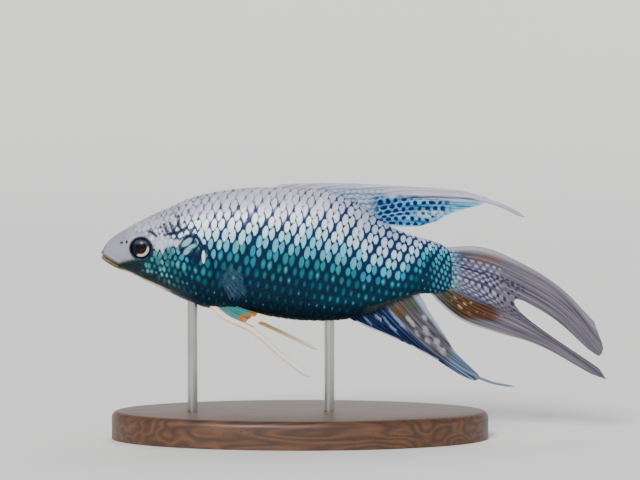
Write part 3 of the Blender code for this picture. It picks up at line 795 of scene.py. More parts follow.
def laid(count, line):
    """The x and the way round the hide of a place in the scales' own rows and lines."""
    x = np.interp(count, lay_count, lay_x)
    x = x + np.interp(x, lay_x, lean) * np.interp(x, lay_x, spacing) * line
    return x, np.interp(x, lay_x, lay_fall) + np.interp(x, lay_x, spacing) * line


# One scale, as a closed tile that is bent to its outline: the grid is its top, and the skirt its rim.
deselect()
bpy.ops.mesh.primitive_grid_add(x_subdivisions=SCALE_COLUMNS, y_subdivisions=SCALE_LINES, size=1)
bpy.ops.object.mode_set(mode="EDIT")
bpy.ops.mesh.select_all(action="SELECT")
bpy.ops.mesh.region_to_loop()
bpy.ops.mesh.extrude_region_move(TRANSFORM_OT_translate={"value": (0, 0, -1)})
bpy.ops.mesh.edge_face_add()
bpy.ops.mesh.select_all(action="SELECT")
bpy.ops.mesh.normals_make_consistent(inside=False)
bpy.ops.object.mode_set(mode="OBJECT")
tile = bpy.context.object
flat = corners(tile)
tile_faces = [tuple(face.vertices) for face in tile.data.polygons]
tile_is_low = flat[:, 2] < -0.5
tile_way = flat[:, 0] + 0.5
tile_wide = 2 * flat[:, 1]
tile_along = -SCALE_FRONT + tile_way * (SCALE_FRONT + SCALE_REAR * (1 - tile_wide**2))
tile_across = tile_wide * (0.6 + 0.4 * np.minimum(1, 1.5 * tile_way))
tile_lift = SCALE_LOW + (SCALE_HIGH - SCALE_LOW) * (tile_along + SCALE_FRONT) / (SCALE_FRONT + SCALE_REAR)
tile_lift = tile_lift + SCALE_DOME * (1 - tile_wide**2) - SCALE_THICKNESS * tile_is_low
bpy.data.objects.remove(tile)

scale_finish, wire, where = new_finish("scale_finish")
x, _ = wire.side(where)
height = wire.read("height")
middle, net = hide_colours(wire, where, height)
rough_edge = wire.noise(where, 2600.0, 2.0)
uneven = x.rise(-15.5, -18.5) * (wire.noise(where, 1100.0, 1.0) - 0.5)
along = (wire.read("along") - 0.04 - wire.read("drift")) / wire.read("mark_long")
across = wire.read("across") / wire.read("mark_tall")
away = (along * along + across * across) ** 0.5 + 0.3 * (rough_edge - 0.5) + 1.5 * uneven
soft = height.rise(0.55, 0.3)
mark = away.rise(1.12 + 0.2 * soft, 0.8 - 0.4 * soft)
shine = wire.read("along").rise(-0.5, 0.45)
vivid = wire.read("vivid") * height.within(0.36, 0.5, 0.6, 0.74) * x.rise(-15, -12)
green = wire.noise(where, 300.0).rise(0.42, 0.62) * height.within(0.2, 0.35, 0.5, 0.62)
glint = away.rise(0.6, 0.15) * height.rise(0.55, 0.4) * wire.read("shade").rise(0.12, 0.02)
middle = paint_over(middle, (
    (0.5, wire.read("shade"), (0.5 + 0.5 * shine).blend(net, middle)),
    (0.75, vivid, VIVID_PAINT),
    (0.4, green * x.rise(14, 6), GREEN_PAINT),
    (0.6, glint, GLINT_PAINT),
))
# On the back the net breaks up, and only short dashes of it are left between the scales of a row.
broken = height.rise(0.76, 0.88) * wire.read("across").size().rise(0.2, 0.45) * x.rise(5, -3)
net = paint_over(net, (
    (0.8, broken, BROKEN_NET_PAINT),
    (0.3, rough_edge.rise(0.4, 0.6) * soft, SOFT_NET_PAINT),
))
grain = wire.noise(where, 7000.0, 2.0)
lacquer(wire, mark.blend(net, middle), MOIST | {
    "Roughness": 0.44 - 0.12 * mark + 0.1 * grain,
    "Normal": wire.bump(0.15, 0.04, grain + 0.6 * mark),
    "Metallic": 0.1 * mark,
})


def scales_in(chosen):
    """The number, line, x, z and station share of every scale in a chosen part of the side view."""
    numbers = np.arange(first_count, last_count + 1.0)
    count, line = np.meshgrid(numbers, np.arange(-SCALE_LINE_REACH, SCALE_LINE_REACH + 1.0))
    count = (count + 0.5 * (np.abs(line) % 2)).ravel()
    order = np.argsort(count, kind="stable")
    count, line = count[order], line.ravel()[order]
    x, span = laid(count, line)
    share, turn = unrolled(x, span)
    z = loft(share, turn)[:, 2]
    top = np.interp(share, arc_shares, back_span)
    bottom = np.interp(share, arc_shares, belly_span)
    here = (x > FIRST_SCALE) & (x < LAST_SCALE) & (span < top + 0.3) & (span > bottom - 0.3)
    here &= chosen(x, z)
    return (values[here] for values in (count, line, x, z, share))


def face_points(mesh):
    """The number of the point at each corner of each face."""
    points = np.empty(len(mesh.loops), np.int64)
    mesh.loops.foreach_get("vertex_index", points)
    return points


def map_scales(mesh, count, line):
    """The bake's map: each scale has its own patch in the unrolled rows, and its underside a small one."""
    cell = 1 / np.array((last_count - first_count + 3, 2 * SCALE_LINE_REACH + 2))
    middles = np.stack((count - first_count + 1, line + SCALE_LINE_REACH + 1), axis=1)[:, None, :] * cell
    spread = np.stack((0.66 * (tile_along + 0.15), 0.43 * tile_across), axis=1)
    spread[tile_is_low] *= 1.06
    patches = middles + spread * cell
    under = middles + (0.04 * spread + 0.47) * cell
    largest = max(len(face) for face in tile_faces)
    is_under = np.concatenate([np.full(len(face), len(face) == largest) for face in tile_faces])
    is_under = np.tile(is_under, len(count))[:, None]
    points = face_points(mesh)
    uv = np.where(is_under, under.reshape(-1, 2)[points], patches.reshape(-1, 2)[points])
    mesh.uv_layers.new(name="OFBake").data.foreach_set("uv", uv.ravel())


def lay_scales(name, slot, side, chosen, lift_at, loose, marks):
    """Lays the chosen scales on one side of the fish, as one piece."""
    count, line, x, z, share = scales_in(chosen)
    height = height_of(share, z)
    total, each = len(count), len(tile_along)
    slip = loose * rng.uniform(-1, 1, (2, total))
    long_mark, tall_mark, drift = marks(x, height, count, line)
    grid_count = (count + slip[0])[:, None] + tile_along
    grid_line = (line + slip[1])[:, None] + tile_across
    place, span = laid(grid_count.ravel(), grid_line.ravel())
    grid_share, grid_turn = unrolled(place, span)
    scale_by = np.interp(x, lay_x, pitch) / FULL_PITCH
    lift = (tile_lift * scale_by[:, None]).ravel() + lift_at(place)
    places = on_hide(grid_share, side * grid_turn, lift + COAT_DEPTH)
    faces = [tuple(v + each * k for v in face) for k in range(total) for face in tile_faces]
    mesh = bpy.data.meshes.new(name)
    mesh.from_pydata(places, [], faces)
    piece = new_object(name, mesh)
    note(piece, "along", np.tile(tile_along, total))
    note(piece, "across", np.tile(tile_across, total))
    of_scale = {
        "height": height + rng.uniform(-0.035, 0.035, total),
        "mark_long": long_mark,
        "mark_tall": tall_mark,
        "drift": drift,
        "shade": rng.uniform(0, 1, total) ** 1.7,
        "vivid": rng.uniform(0, 1, total) ** 5,
    }
    for word, values in of_scale.items():
        note(piece, word, np.repeat(values, each))
    map_scales(mesh, count, line)
    if side > 0:
        mesh.flip_normals()
    fit(piece, name, scale_finish, slot)


def on_flank(x, z):
    """True behind the line that the gill cover's rear edge and the nape make."""
    nape_z = (20, 26.5, 29, 31, 33, 35, 36.5, 40, 46)
    nape_x = (-19.5, -17.6, -16.1, -15.2, -15.8, -17, -18.6, -20.6, -22.5)
    return x > np.interp(z, nape_z, nape_x) + 0.1


def on_head(x, z):
    """True on the brow and the cheek, which leaves the snout, the jaw and the eye's surroundings bare."""
    away_from_eye = np.hypot(x - EYE_AT[0], z - EYE_AT[1])
    brow = z > 34 - 0.35 * (x + 30)
    ahead = x > np.where(z > 36.5, -29.5, -28.6)
    cheek = z > 30.6 - 0.48 * (x + 28.5)
    free = (away_from_eye > EYE_RADIUS + 0.75) & ahead & (brow | (x > -28)) & cheek
    return free & ~on_flank(x, z) & (cover_reach(x, z) > 0.9)


def on_cover(x, z):
    """True on the gill cover, but for its outermost rim."""
    return cover_reach(x, z) <= 0.9


def flank_marks(x, height, count, line):
    """The half length, half height and place of each scale's pale middle. In slanting rows they pair up."""
    heights = (0.05, 0.12, 0.22, 0.32, 0.42, 0.55, 0.85, 1.0)
    size = np.interp(height, heights, (0.22, 0.34, 0.48, 0.6, 0.74, 0.9, 1.02, 1.12))
    size = size - 0.16 * step_up(x, 2, 16) * step_up(height, 0.6, 0.9)
    size = np.maximum(size, 0.6 * step_up(x, 10, 20))
    size = np.maximum(size, 0.78 * step_up(x, 21, 24)) * rng.uniform(0.82, 1.1, len(x))
    paired = step_up(x, -20, -8) * step_up(height, 0.3, 0.45) * (1 - 0.6 * step_up(height, 0.75, 0.95))
    rear = paired * step_up(x, 0, 12)
    drift = np.where((count - 0.5 * line) % 2 < 1, 1, -1) * (0.13 * paired + 0.06 * rear)
    tall = 0.7 + 0.03 * rear - 0.14 * step_up(x, 8, 18)
    return size * (0.42 + 0.1 * rear), size * tall * rng.uniform(0.9, 1.08, len(x)), drift


def head_marks(x, height, count, line):
    """The same for the head, where the scales are uneven and rounder."""
    size = np.interp(height, (0.1, 0.25, 0.4, 0.6, 1.0), (0.4, 0.8, 1.0, 1.05, 1.15))
    size = size * rng.uniform(0.65, 1.1, len(x))
    return 0.44 * size, rng.uniform(0.45, 0.66, len(x)) * size, rng.uniform(-0.06, 0.06, len(x))


for word, side in SIDES:
    lay_scales(f"flank_scales_{word}", "trunk_skin", side, on_flank, np.zeros_like, 0.03, flank_marks)
    lay_scales(f"head_scales_{word}", "head_skin", side, on_head, np.zeros_like, 0.14, head_marks)
    lay_scales(f"gill_cover_scales_{word}", "gill_cover_skin", side, on_cover, cover_lift, 0.12, head_marks)

# The eyes: glass eyes as a taxidermist sets them, painted behind and polished in front, each one held in the
# orbit by a dark fold of skin.
EYE_SIDES, EYE_RINGS = 64, 40
EYE_BULGE, EYE_SUNK = 1.1, 0.35
EYE_YAW = math.radians(12)
PUPIL_AT, PUPIL_RADII = (0.02, 0.1), (1.04, 0.9)
ORBIT_SIDES, ORBIT_RINGS = 64, 12
ORBIT_RADIUS, ORBIT_WIDTH = 1.98, 0.14
ORBIT_HEIGHT, ORBIT_SUNK = 1.4, 0.02
IRIS_PAINT = tint(66, 72, 90)
IRIS_DEEP_PAINT = tint(10, 13, 22)
CRESCENT_PAINT = tint(206, 194, 180)
PUPIL_PAINT = tint(2, 2, 4)
PUPIL_GLOW_PAINT = tint(70, 14, 8)

eye_finish, wire, where = new_finish("eye_finish")
x, z = wire.side(where)
x, z = x - EYE_AT[0], z - EYE_AT[1]
away = (x * x + z * z) ** 0.5
pupil = (0.5 * spot_at(x, z, (0.4, -0.42), (0.6, 0.4), 0.9)).blend(PUPIL_PAINT, PUPIL_GLOW_PAINT)
colour = paint_over(IRIS_PAINT, (
    (0.7, wire.noise(where, 2600.0, 3.0).rise(0.3, 0.7), IRIS_DEEP_PAINT),
    (1, (z + 0.6 * x).rise(0.9, -0.6), IRIS_DEEP_PAINT),
    (1, (away - 1.22).size().rise(0.32, 0.14) * (0.75 * x - z).rise(0.4, 0.95), CRESCENT_PAINT),
    (1, away.rise(1.5, 1.72), IRIS_DEEP_PAINT),
    (1, spot_at(x, z, PUPIL_AT, PUPIL_RADII, 0.12), pupil),
))
lacquer(wire, colour, {
    "Roughness": 0.3,
    "Specular IOR Level": 0.1,
    "Coat Weight": 0.15,
    "Coat Roughness": 0.03,
})

orbit_finish, wire, where = new_finish("orbit_finish")
fold = wire.noise(where, 1800.0, 2.0)
colour = fold.rise(0.3, 0.7).blend(tint(22, 28, 42), tint(60, 66, 86))
lacquer(wire, colour, MOIST | {"Roughness": 0.35 + 0.2 * fold})

eye_share, eye_turn = on_side(np.array([EYE_AT[0]]), np.array([EYE_AT[1]]))
eye_depth = loft(eye_share, eye_turn)[0, 1] + EYE_SUNK - EYE_BULGE
for word, side in SIDES:
    eye, globe, _, _ = new_globe(EYE_SIDES, EYE_RINGS)
    out = EYE_BULGE * globe[:, 2]
    across = EYE_RADIUS * globe[:, 0]
    forward = EYE_AT[0] + across * math.cos(EYE_YAW) - out * math.sin(EYE_YAW)
    aside = side * (eye_depth + out * math.cos(EYE_YAW) + across * math.sin(EYE_YAW))
    move_to(eye, np.stack((forward, aside, EYE_AT[1] + EYE_RADIUS * globe[:, 1]), axis=1) * MM)
    face_out(eye)
    fit(eye, f"eye_{word}_glass", eye_finish, "eye", f"eye_{word}")
    deselect()
    bpy.ops.mesh.primitive_torus_add(
        major_segments=ORBIT_SIDES,
        minor_segments=ORBIT_RINGS,
        major_radius=ORBIT_RADIUS,
        minor_radius=ORBIT_WIDTH,
    )
    orbit = bpy.context.object
    ring = corners(orbit)
    share, turn = on_side(EYE_AT[0] + ring[:, 0], EYE_AT[1] + ring[:, 1])
    plain = loft(share, side * turn)
    lift = ring[:, 2] * ORBIT_HEIGHT - ORBIT_SUNK
    move_to(orbit, swung(plain + outward(share, side * turn) * lift[:, None]))
    face_out(orbit)
    fit(orbit, f"orbit_{word}", orbit_finish, "head_skin")

# The fins: thin membranes on rays, cast clear and painted. Each is one sheet with a ridge for every ray, let
# into the body at its root, and the long rays trail on past it.
RAY_COLUMNS = 6
MEMBRANE, MEMBRANE_TIP, RAY_RIDGE, ROOT_FLESH = 0.16, 0.1, 0.26, 0.3
RAY_SHARE = 0.17
# How the web opens behind the fork: over what share of the way, how wide, and how far round it is smoothed.
FORK_OPENS, FORK_WIDE, FORK_SMOOTHED = 0.06, 0.67, (1.6, 0.04)
STRAND_SIDES, STRAND_RINGS, STRAND_END, STRAND_FLATNESS = 14, 56, 0.14, 0.8
PLEAT = 0.07


def along(points):
    """A smooth function of the share of the way, 0 to 1, through a row of points."""
    points = np.asarray(points, float)
    ways = np.concatenate(([0], np.cumsum(np.linalg.norm(np.diff(points, axis=0), axis=1))))
    return smooth(ways / ways[-1], points)


def between(numbers, values, place):
    """Runs steadily from guide to guide: values holds, for each place, a row for every guide."""
    numbers = np.asarray(numbers, float)
    steps = np.diff(numbers)[None, :, None]
    slopes = np.diff(values, axis=1) / steps
    product = slopes[:, :-1] * slopes[:, 1:]
    total = np.where(product > 0, slopes[:, :-1] + slopes[:, 1:], 1.0)
    inner = np.where(product > 0, 2 * product / total, 0.0)
    tangents = np.concatenate((slopes[:, :1], inner, slopes[:, -1:]), axis=1)
    k = np.clip(np.searchsorted(numbers, place, "right") - 1, 0, len(numbers) - 2)
    step = np.diff(numbers)[k][:, None]
    t = (place - numbers[k])[:, None] / step
    here, ahead = (np.arange(len(place)), k), (np.arange(len(place)), k + 1)
    return eased(t, step, values[here], values[ahead], tangents[here], tangents[ahead])


def leaning(flat, lean, side):
    """Carries points of the side view out to their place on a fin that leans from the middle plane."""
    if lean is None:
        return np.stack((flat[:, 0], np.zeros(len(flat)), flat[:, 1]), axis=1)
    (start_x, start_z), (way_x, way_z), root, flare, spread = lean
    distance = np.clip((flat[:, 0] - start_x) * way_x + (flat[:, 1] - start_z) * way_z, 0, None)
    out = side * (root + flare * (1 - np.exp(-distance / spread)))
    return np.stack((flat[:, 0], out, flat[:, 1]), axis=1)


def pick_points(piece, chosen):
    """Leaves a piece in edit mode with only the chosen points selected."""
    bpy.ops.object.mode_set(mode="EDIT")
    bpy.ops.mesh.select_mode(type="VERT")
    bpy.ops.mesh.select_all(action="DESELECT")
    bpy.ops.object.mode_set(mode="OBJECT")
    piece.data.vertices.foreach_set("select", chosen)
    bpy.ops.object.mode_set(mode="EDIT")


def membrane(guides, rays, rows, lean=None, side=0, fork=None, scallop=0.02):
    """A fin's sheet with its rays. Beyond the fork's share of the way no membrane joins its two rays."""
    deselect()
    bpy.ops.mesh.primitive_grid_add(x_subdivisions=RAY_COLUMNS * rays, y_subdivisions=rows, size=1)
    piece = bpy.context.object
    piece.data.uv_layers[0].name = "fin"
    flat = corners(piece)
    ray = (flat[:, 0] + 0.5) * rays
    reach = flat[:, 1] + 0.5
    numbers = [number for number, _ in guides]
    hollow = np.abs(np.sin(math.pi * ray))
    share = reach * (1 - scallop * hollow * reach)
    paths = np.stack([along(points)(share) for _, points in guides], axis=1)
    places = leaning(between(numbers, paths, ray), lean, side)
    places[:, 1] += PLEAT * np.cos(math.pi * ray) * step_up(reach, 0.1, 0.5)
    move_to(piece, swung(places))

    thickest = MEMBRANE + RAY_RIDGE + ROOT_FLESH
    near_ray = np.abs(ray - np.round(ray))
    ridge = RAY_RIDGE * bell(near_ray, RAY_SHARE) * np.clip(1 - reach, 0, 1) ** 0.5
    sheet = MEMBRANE + (MEMBRANE_TIP - MEMBRANE) * reach
    weights = (sheet + ridge + ROOT_FLESH * np.clip(1 - 3 * reach, 0, 1)) / thickest
    group = piece.vertex_groups.new(name="thickness")
    for number, weight in enumerate(weights):
        group.add([number], weight, "REPLACE")
    if fork:
        (first, last), share = fork
        middle, half = (first + last) / 2, (last - first) / 2
        opened = np.clip((reach - share) / FORK_OPENS, 0, 1) ** 0.5
        cut = np.abs(ray - middle) < half * opened * FORK_WIDE
        near_cut = (np.abs(ray - middle) < FORK_SMOOTHED[0] * half) & (reach > share - FORK_SMOOTHED[1])
        pick_points(piece, cut)
        bpy.ops.mesh.delete(type="VERT")
        bpy.ops.object.mode_set(mode="OBJECT")
        pick_points(piece, near_cut[~cut])
        bpy.ops.mesh.vertices_smooth(factor=0.5, repeat=5)
        bpy.ops.object.mode_set(mode="OBJECT")
    wall = piece.modifiers.new("thickness", "SOLIDIFY")
    wall.thickness = thickest * MM
    wall.offset = 0
    wall.vertex_group = "thickness"
    bpy.ops.object.modifier_apply(modifier="thickness")
    return piece


def long_ray(points, widths, ray_share, lean=None, side=0):
    """A trailing ray: a globe drawn out along its path, with its width at the root and at the tip."""
    piece, globe, share, turn = new_globe(STRAND_SIDES, STRAND_RINGS)
    piece.data.uv_layers[0].name = "fin"
    path = along(leaning(np.asarray(points, float), lean, side))
    ahead = path(np.minimum(share + 0.01, 1)) - path(np.maximum(share - 0.01, 0))
    ahead /= np.linalg.norm(ahead, axis=1, keepdims=True)
    outer = np.cross(ahead, (0.0, 1.0, 0.0))
    outer /= np.linalg.norm(outer, axis=1, keepdims=True)
    beside = np.cross(outer, ahead)
    radius = (widths[0] + (widths[1] - widths[0]) * share) / 2
    radius = radius * np.minimum(1, np.hypot(globe[:, 0], globe[:, 1]) / STRAND_END)
    across = outer * np.cos(turn)[:, None] + beside * (STRAND_FLATNESS * np.sin(turn))[:, None]
    move_to(piece, swung(path(share) + across * radius[:, None]))
    at_points = share[face_points(piece.data)]
    uv = np.stack((np.full(len(at_points), ray_share), at_points), axis=1)
    piece.data.uv_layers["fin"].data.foreach_set("uv", uv.ravel())
    return piece


def set_fin(node, finish, slot, sheet, *strands):
    """Makes a fin's sheet and its trailing ray one piece, and sets it in place of the solid fin."""
    pick(sheet, *strands)
    if strands:
        bpy.ops.object.join()
    face_out(sheet)
    fit(sheet, f"{node}_sheet", finish, slot, node)


def fin_wires(name, rays, fine=4.0, low=0.36):
    """A new fin finish. It comes with the places of the side view, the number of the ray and the share of
    the way out that each place lies at, and long thin streaks that run out with the rays."""
    made, wire, where = new_finish(name)
    number, reach, _ = wire.split(wire.add("ShaderNodeUVMap", {"uv_map": "fin"}, (), "UV"))
    number = number * float(rays)
    pulled = wire.add("ShaderNodeCombineXYZ", (), {0: number * fine, 1: reach * 3.0, 2: 0.0})
    streak = wire.noise(pulled, 1.0, 3.0).rise(low, 1 - low)
    return made, wire, where, *wire.side(where), number, reach, streak


def ray_lines(number, width=0.2):
    """1 on each ray, fading to 0 beside it."""
    return (number + 0.5).off_middle().rise(width, 0.0)


def spots_in_rows(lengthwise, across, size, squash=1.6):
    """Rows of spots, one to each unit along and across, every second row set back by half a unit."""
    row = across - across.part()
    lengthwise = (lengthwise + 0.5 * row).part() - 0.5
    across = across.part() - 0.5
    return (((lengthwise * lengthwise * squash + across * across) ** 0.5) / size).rise(1.0, 0.6)


def finish_fin(wire, colour, streak, lines):
    """The fins' satin lacquer, over rays and streaks that stand out a little."""
    lacquer(wire, colour, MOIST | {
        "Roughness": 0.5 - 0.1 * streak,
        "Normal": wire.bump(0.3, 0.06, streak + lines),
    })


DORSAL_RAYS = 14
DORSAL_GUIDES = (
    (0, ((-6.8, 44.5), (-5.0, 45.2), (-3.1, 45.9))),
    (4, ((-1.8, 44.4), (1.8, 45.4), (6.3, 46.1))),
    (7, ((3.2, 44.0), (10.8, 45.1), (18.9, 45.5))),
    (9, ((7.0, 43.2), (17.1, 44.6), (29.0, 44.7))),
    (10, ((9.0, 42.3), (20.0, 43.8), (34.0, 43.2))),
    (11, ((11.0, 40.9), (20.8, 42.4), (33.2, 42.2))),
    (12, ((12.6, 39.9), (19.8, 40.9), (27.6, 40.6))),
    (13, ((13.5, 39.3), (19.0, 39.8), (24.7, 39.1))),
    (14, ((14.4, 38.7), (18.0, 38.1), (21.5, 38.2))),
)
DORSAL_SPOT_STEP, DORSAL_SPOT_ROWS = 1.44, 1.5
DORSAL_STRAND = ((14.0, 43.0), (24.0, 44.0), (31.5, 43.3), (36.4, 41.9), (40.8, 39.7))

finish, wire, where, x, z, number, reach, streak = fin_wires("dorsal_fin_finish", DORSAL_RAYS, 5.0, 0.35)
lines = ray_lines(number)
# Scales like those of the back run up on to the fin's root, pale with dark teal gaps.
sheath = (z + 0.02 * x + 0.8 * streak).rise(46.0, 45.2) * x.within(0, 6, 14.5, 17)
gaps = 1 - 0.85 * spots_in_rows(x / 1.1 + 0.6 * streak, z / 0.9, 0.48, 1.0)
# Below the pale leading rays lies a blue field with rows of dark spots, which ends in a pale rim.
field = (z + 0.05 * x + 0.5 * streak).rise(44.9, 44.3) * x.within(12, 14.5, 31.5, 34) * number.rise(6.5, 7.5)
deep = streak.blend(tint(22, 82, 140), tint(92, 168, 202))
deep = x.rise(25.5, 28.5).blend(deep, streak.blend(tint(30, 96, 146), tint(140, 196, 216)))
under_lead = (z + 0.05 * x - 44.6).size().rise(0.45, 0.15) * x.within(15, 18, 30, 33)
rim = number.rise(13.72, 13.9).most(reach.rise(0.95, 0.99) * field)
sway = wire.waver(where, 650.0, 0.9)
step, row = x / DORSAL_SPOT_STEP + sway, number * DORSAL_SPOT_ROWS + 0.7 * sway
large = 0.5 + 0.1 * x.rise(21, 16)
spots = spots_in_rows(step, row, large, 1.5 + 0.8 * number.rise(12.0, 12.6)) * field * x.rise(28.5, 25.5)
patch = spot_at(x, z, (23.6, 40.4), (2.8, 0.7), 0.8) * wire.noise(where, 1300.0).rise(0.40, 0.56)
colour = paint_over(streak.blend(tint(200, 196, 210), tint(164, 166, 188)), (
    (0.85, sheath * gaps, streak.blend(tint(24, 74, 116), tint(84, 150, 172))),
    (1, field, deep),
    (0.4, field * lines, tint(150, 214, 232)),
    (0.8, under_lead * streak.rise(0.7, 0.35), tint(20, 54, 110)),
    (1, spots * (1 - rim), tint(3, 20, 72)),
    (0.65, patch, tint(186, 214, 218)),
    (0.8, rim, tint(140, 208, 224)),
))
finish_fin(wire, colour, streak, lines)
sheet = membrane(DORSAL_GUIDES, DORSAL_RAYS, 30)
strand = long_ray(DORSAL_STRAND, (1.0, 0.7), 9.2 / DORSAL_RAYS)
set_fin("dorsal_fin", finish, "dorsal_fin_skin", sheet, strand)

ANAL_RAYS = 16
ANAL_GUIDES = (
    (0, ((7.7, 22.4), (10.2, 21.0), (13.0, 19.7))),
    (4, ((10.3, 22.9), (14.6, 20.0), (19.4, 17.0))),
    (8, ((12.8, 23.8), (18.0, 18.9), (24.8, 14.0))),
    (10, ((14.9, 24.7), (21.8, 17.4), (31.6, 10.2))),
    (11, ((16.2, 25.3), (22.8, 18.0), (33.4, 10.2))),
    (12, ((17.3, 25.6), (23.4, 18.8), (32.0, 11.6))),
    (14, ((18.9, 26.3), (23.4, 20.6), (28.0, 15.6))),
    (16, ((21.0, 27.0), (23.6, 22.4), (26.3, 18.3))),
)
# The anal fin's pale marks: where each one's middle is, and half its length and its width along the rays.
ANAL_MARKS = (
    (22.5, 21.9, 0.85, 0.4),
    (20.0, 21.1, 1.1, 0.44),
    (22.7, 19.5, 0.95, 0.44),
    (21.1, 18.9, 0.8, 0.32),
    (23.1, 17.5, 0.9, 0.4),
    (24.8, 17.4, 0.8, 0.36),
    (25.6, 15.9, 1.0, 0.4),
    (17.8, 21.2, 2.3, 0.272),
    (16.4, 20.3, 2.0, 0.224),
    (14.1, 21.8, 1.0, 0.224),
    (12.2, 21.3, 1.1, 0.192),
)
ANAL_SLANT = (0.66, 0.75)
ANAL_STRAND = ((16.4, 24.6), (23.2, 17.4), (30.6, 11.7), (34.6, 9.9), (39.1, 9.0))
ANAL_FRONT = ((10.2, 21.0), (13.0, 19.7), (19.4, 17.0), (24.8, 14.0))

finish, wire, where, x, z, number, reach, streak = fin_wires("anal_fin_finish", ANAL_RAYS, low=0.38)
lines = ray_lines(number)
# Pale blotches behind, and long pale streaks in the navy front, all run down along the rays.
behind = number.rise(9.2, 10.6)
down, aside = turned(x, z, *ANAL_SLANT)
down = down + wire.waver(where, 700.0, 1.8)
aside = aside + wire.waver(where, 900.0, 0.9) + 0.1 * streak
pale = behind.blend(tint(136, 160, 200), tint(180, 174, 184))
marks = [
    spot_at(down, aside, turned(pale_x, pale_z, *ANAL_SLANT), radii, 0.95)
    for pale_x, pale_z, *radii in ANAL_MARKS
]
bright = [
    stroke_at(x, z, start, end, 0.34) * wire.noise(where, 260.0).rise(0.38, 0.5)
    for start, end in zip(ANAL_FRONT, ANAL_FRONT[1:])
]
tip = (x - 0.5 * z).rise(18.5, 21.5) * number.rise(8.5, 10)
pulled = (number * 2.2).off_middle().rise(0.1, 0.4)
edge = number.rise(14.4, 15.4).most(number.rise(12.2, 13.0) * (x - 0.5 * z).rise(18.5, 20.5))
colour = paint_over((0.7 * streak).blend(tint(2, 9, 32), tint(9, 32, 84)), (
    (1, behind, streak.blend(tint(54, 50, 48), tint(98, 96, 100))),
    (0.8, spot_at(x, z, (20.3, 24.6), (1.9, 1.5), 0.6), tint(66, 72, 52)),
    (0.8, spot_at(x, z, (17.9, 23.1), (1.5, 1.2), 0.6), tint(88, 62, 24)),
    *((1, (0.75 - 0.4 * streak) * mark, pale) for mark in marks),
    (0.85, tip, pulled.blend(tint(12, 38, 80), tint(112, 132, 158))),
    (0.8, edge, tint(164, 170, 194)),
    *((0.9, stroke, tint(214, 220, 236)) for stroke in bright),
    (0.2, lines, tint(120, 150, 190)),
))
finish_fin(wire, colour, streak, lines)
sheet = membrane(ANAL_GUIDES, ANAL_RAYS, 30)
strand = long_ray(ANAL_STRAND, (0.85, 0.4), 10.4 / ANAL_RAYS)
set_fin("anal_fin", finish, "anal_fin_skin", sheet, strand)

CAUDAL_RAYS = 14
CAUDAL_FORK = ((7, 8), 0.455)
CAUDAL_GUIDES = (
    (0, ((25.4, 34.4), (33.0, 34.4), (39.8, 31.6), (46.8, 27.3), (53.6, 20.6))),
    (3, ((25.8, 33.2), (33.1, 32.2), (40.3, 29.2), (47.9, 24.5), (55.3, 15.6))),
    (5, ((26.0, 31.8), (33.7, 29.6), (40.2, 26.8), (47.2, 22.5), (54.5, 14.3))),
    (7, ((26.1, 30.7), (33.8, 27.9), (40.2, 24.7), (46.5, 21.0), (52.4, 15.7))),
    (8, ((26.1, 29.6), (33.5, 26.4), (38.7, 23.3), (43.2, 19.9), (54.6, 12.1))),
    (11, ((25.5, 28.5), (32.6, 24.2), (38.9, 21.4), (46.3, 16.9), (55.9, 10.0))),
    (14, ((22.6, 27.2), (25.2, 24.3), (28.6, 21.5), (34.9, 19.1), (41.8, 17.1), (53.2, 11.0))),
)

finish, wire, where, x, z, number, reach, streak = fin_wires("caudal_fin_finish", CAUDAL_RAYS)
lines = ray_lines(number)
sway = wire.waver(where, 400.0, 0.9)
patchy = wire.noise(where, 800.0).rise(0.3, 0.5)
step, row = x / 1.3 + sway, number * 1.5 + 0.3 * sway
# Behind the tail's root pale blots lie between the rays, on blue-grey, and past them rows of dark dots.
rooted = x.rise(37.5, 32.5) * number.within(2.4, 3.4, 12.6, 13.4)
blots = spots_in_rows(step, row, 0.39, 1.1) * (0.3 + 0.7 * patchy)
blots = blots * x.rise(38.5, 33.5) * number.rise(2.8, 3.6) * (number + 0.1 * x).rise(13.8, 12.8)
dotted = x.within(31.5, 33.5, 38.5, 41.5) * number.within(4.4, 5.0, 10.2, 11.2)
dark = spots_in_rows(step + 0.5, row, 0.34, 1.3) * dotted * patchy
# Two rows of dark beads run out along the fifth ray, and dark strokes lie between the rays at their roots.
beads = (x / 0.95).off_middle().rise(0.4, 0.15).most(x.rise(34, 32))
beaded = (number - 5.15).size().rise(0.26, 0.1).most((number - 4.65).size().rise(0.2, 0.06) * x.rise(32, 34))
dark = dark.most(beads * beaded * x.within(28.0, 29.5, 40.0, 41.5))
strokes = (number * 1.2).off_middle().rise(0.3, 0.1) * number.within(1.6, 2.2, 4.8, 5.4)
dark = dark.most(strokes * x.within(26.2, 27.4, 28.5, 31.5))
# The brown zone of the lower lobe slants down across its rays, and is crossed by rows of pale dashes.
zone = (number + 0.17 * x - 17.5).size().rise(1.4, 0.8) * x.within(23.5, 26.0, 34.0, 38.0)
olive = x.rise(29.5, 25.5)
brown = olive.blend(tint(48, 28, 8), tint(40, 46, 34))
brown = streak.blend(brown, olive.blend(tint(98, 60, 16), tint(82, 78, 52)))
dashes = spots_in_rows(x / 1.9 + 0.3, number * 1.6 + 0.5 * sway, 0.27, 0.8) * zone * number.rise(13.2, 12.7)
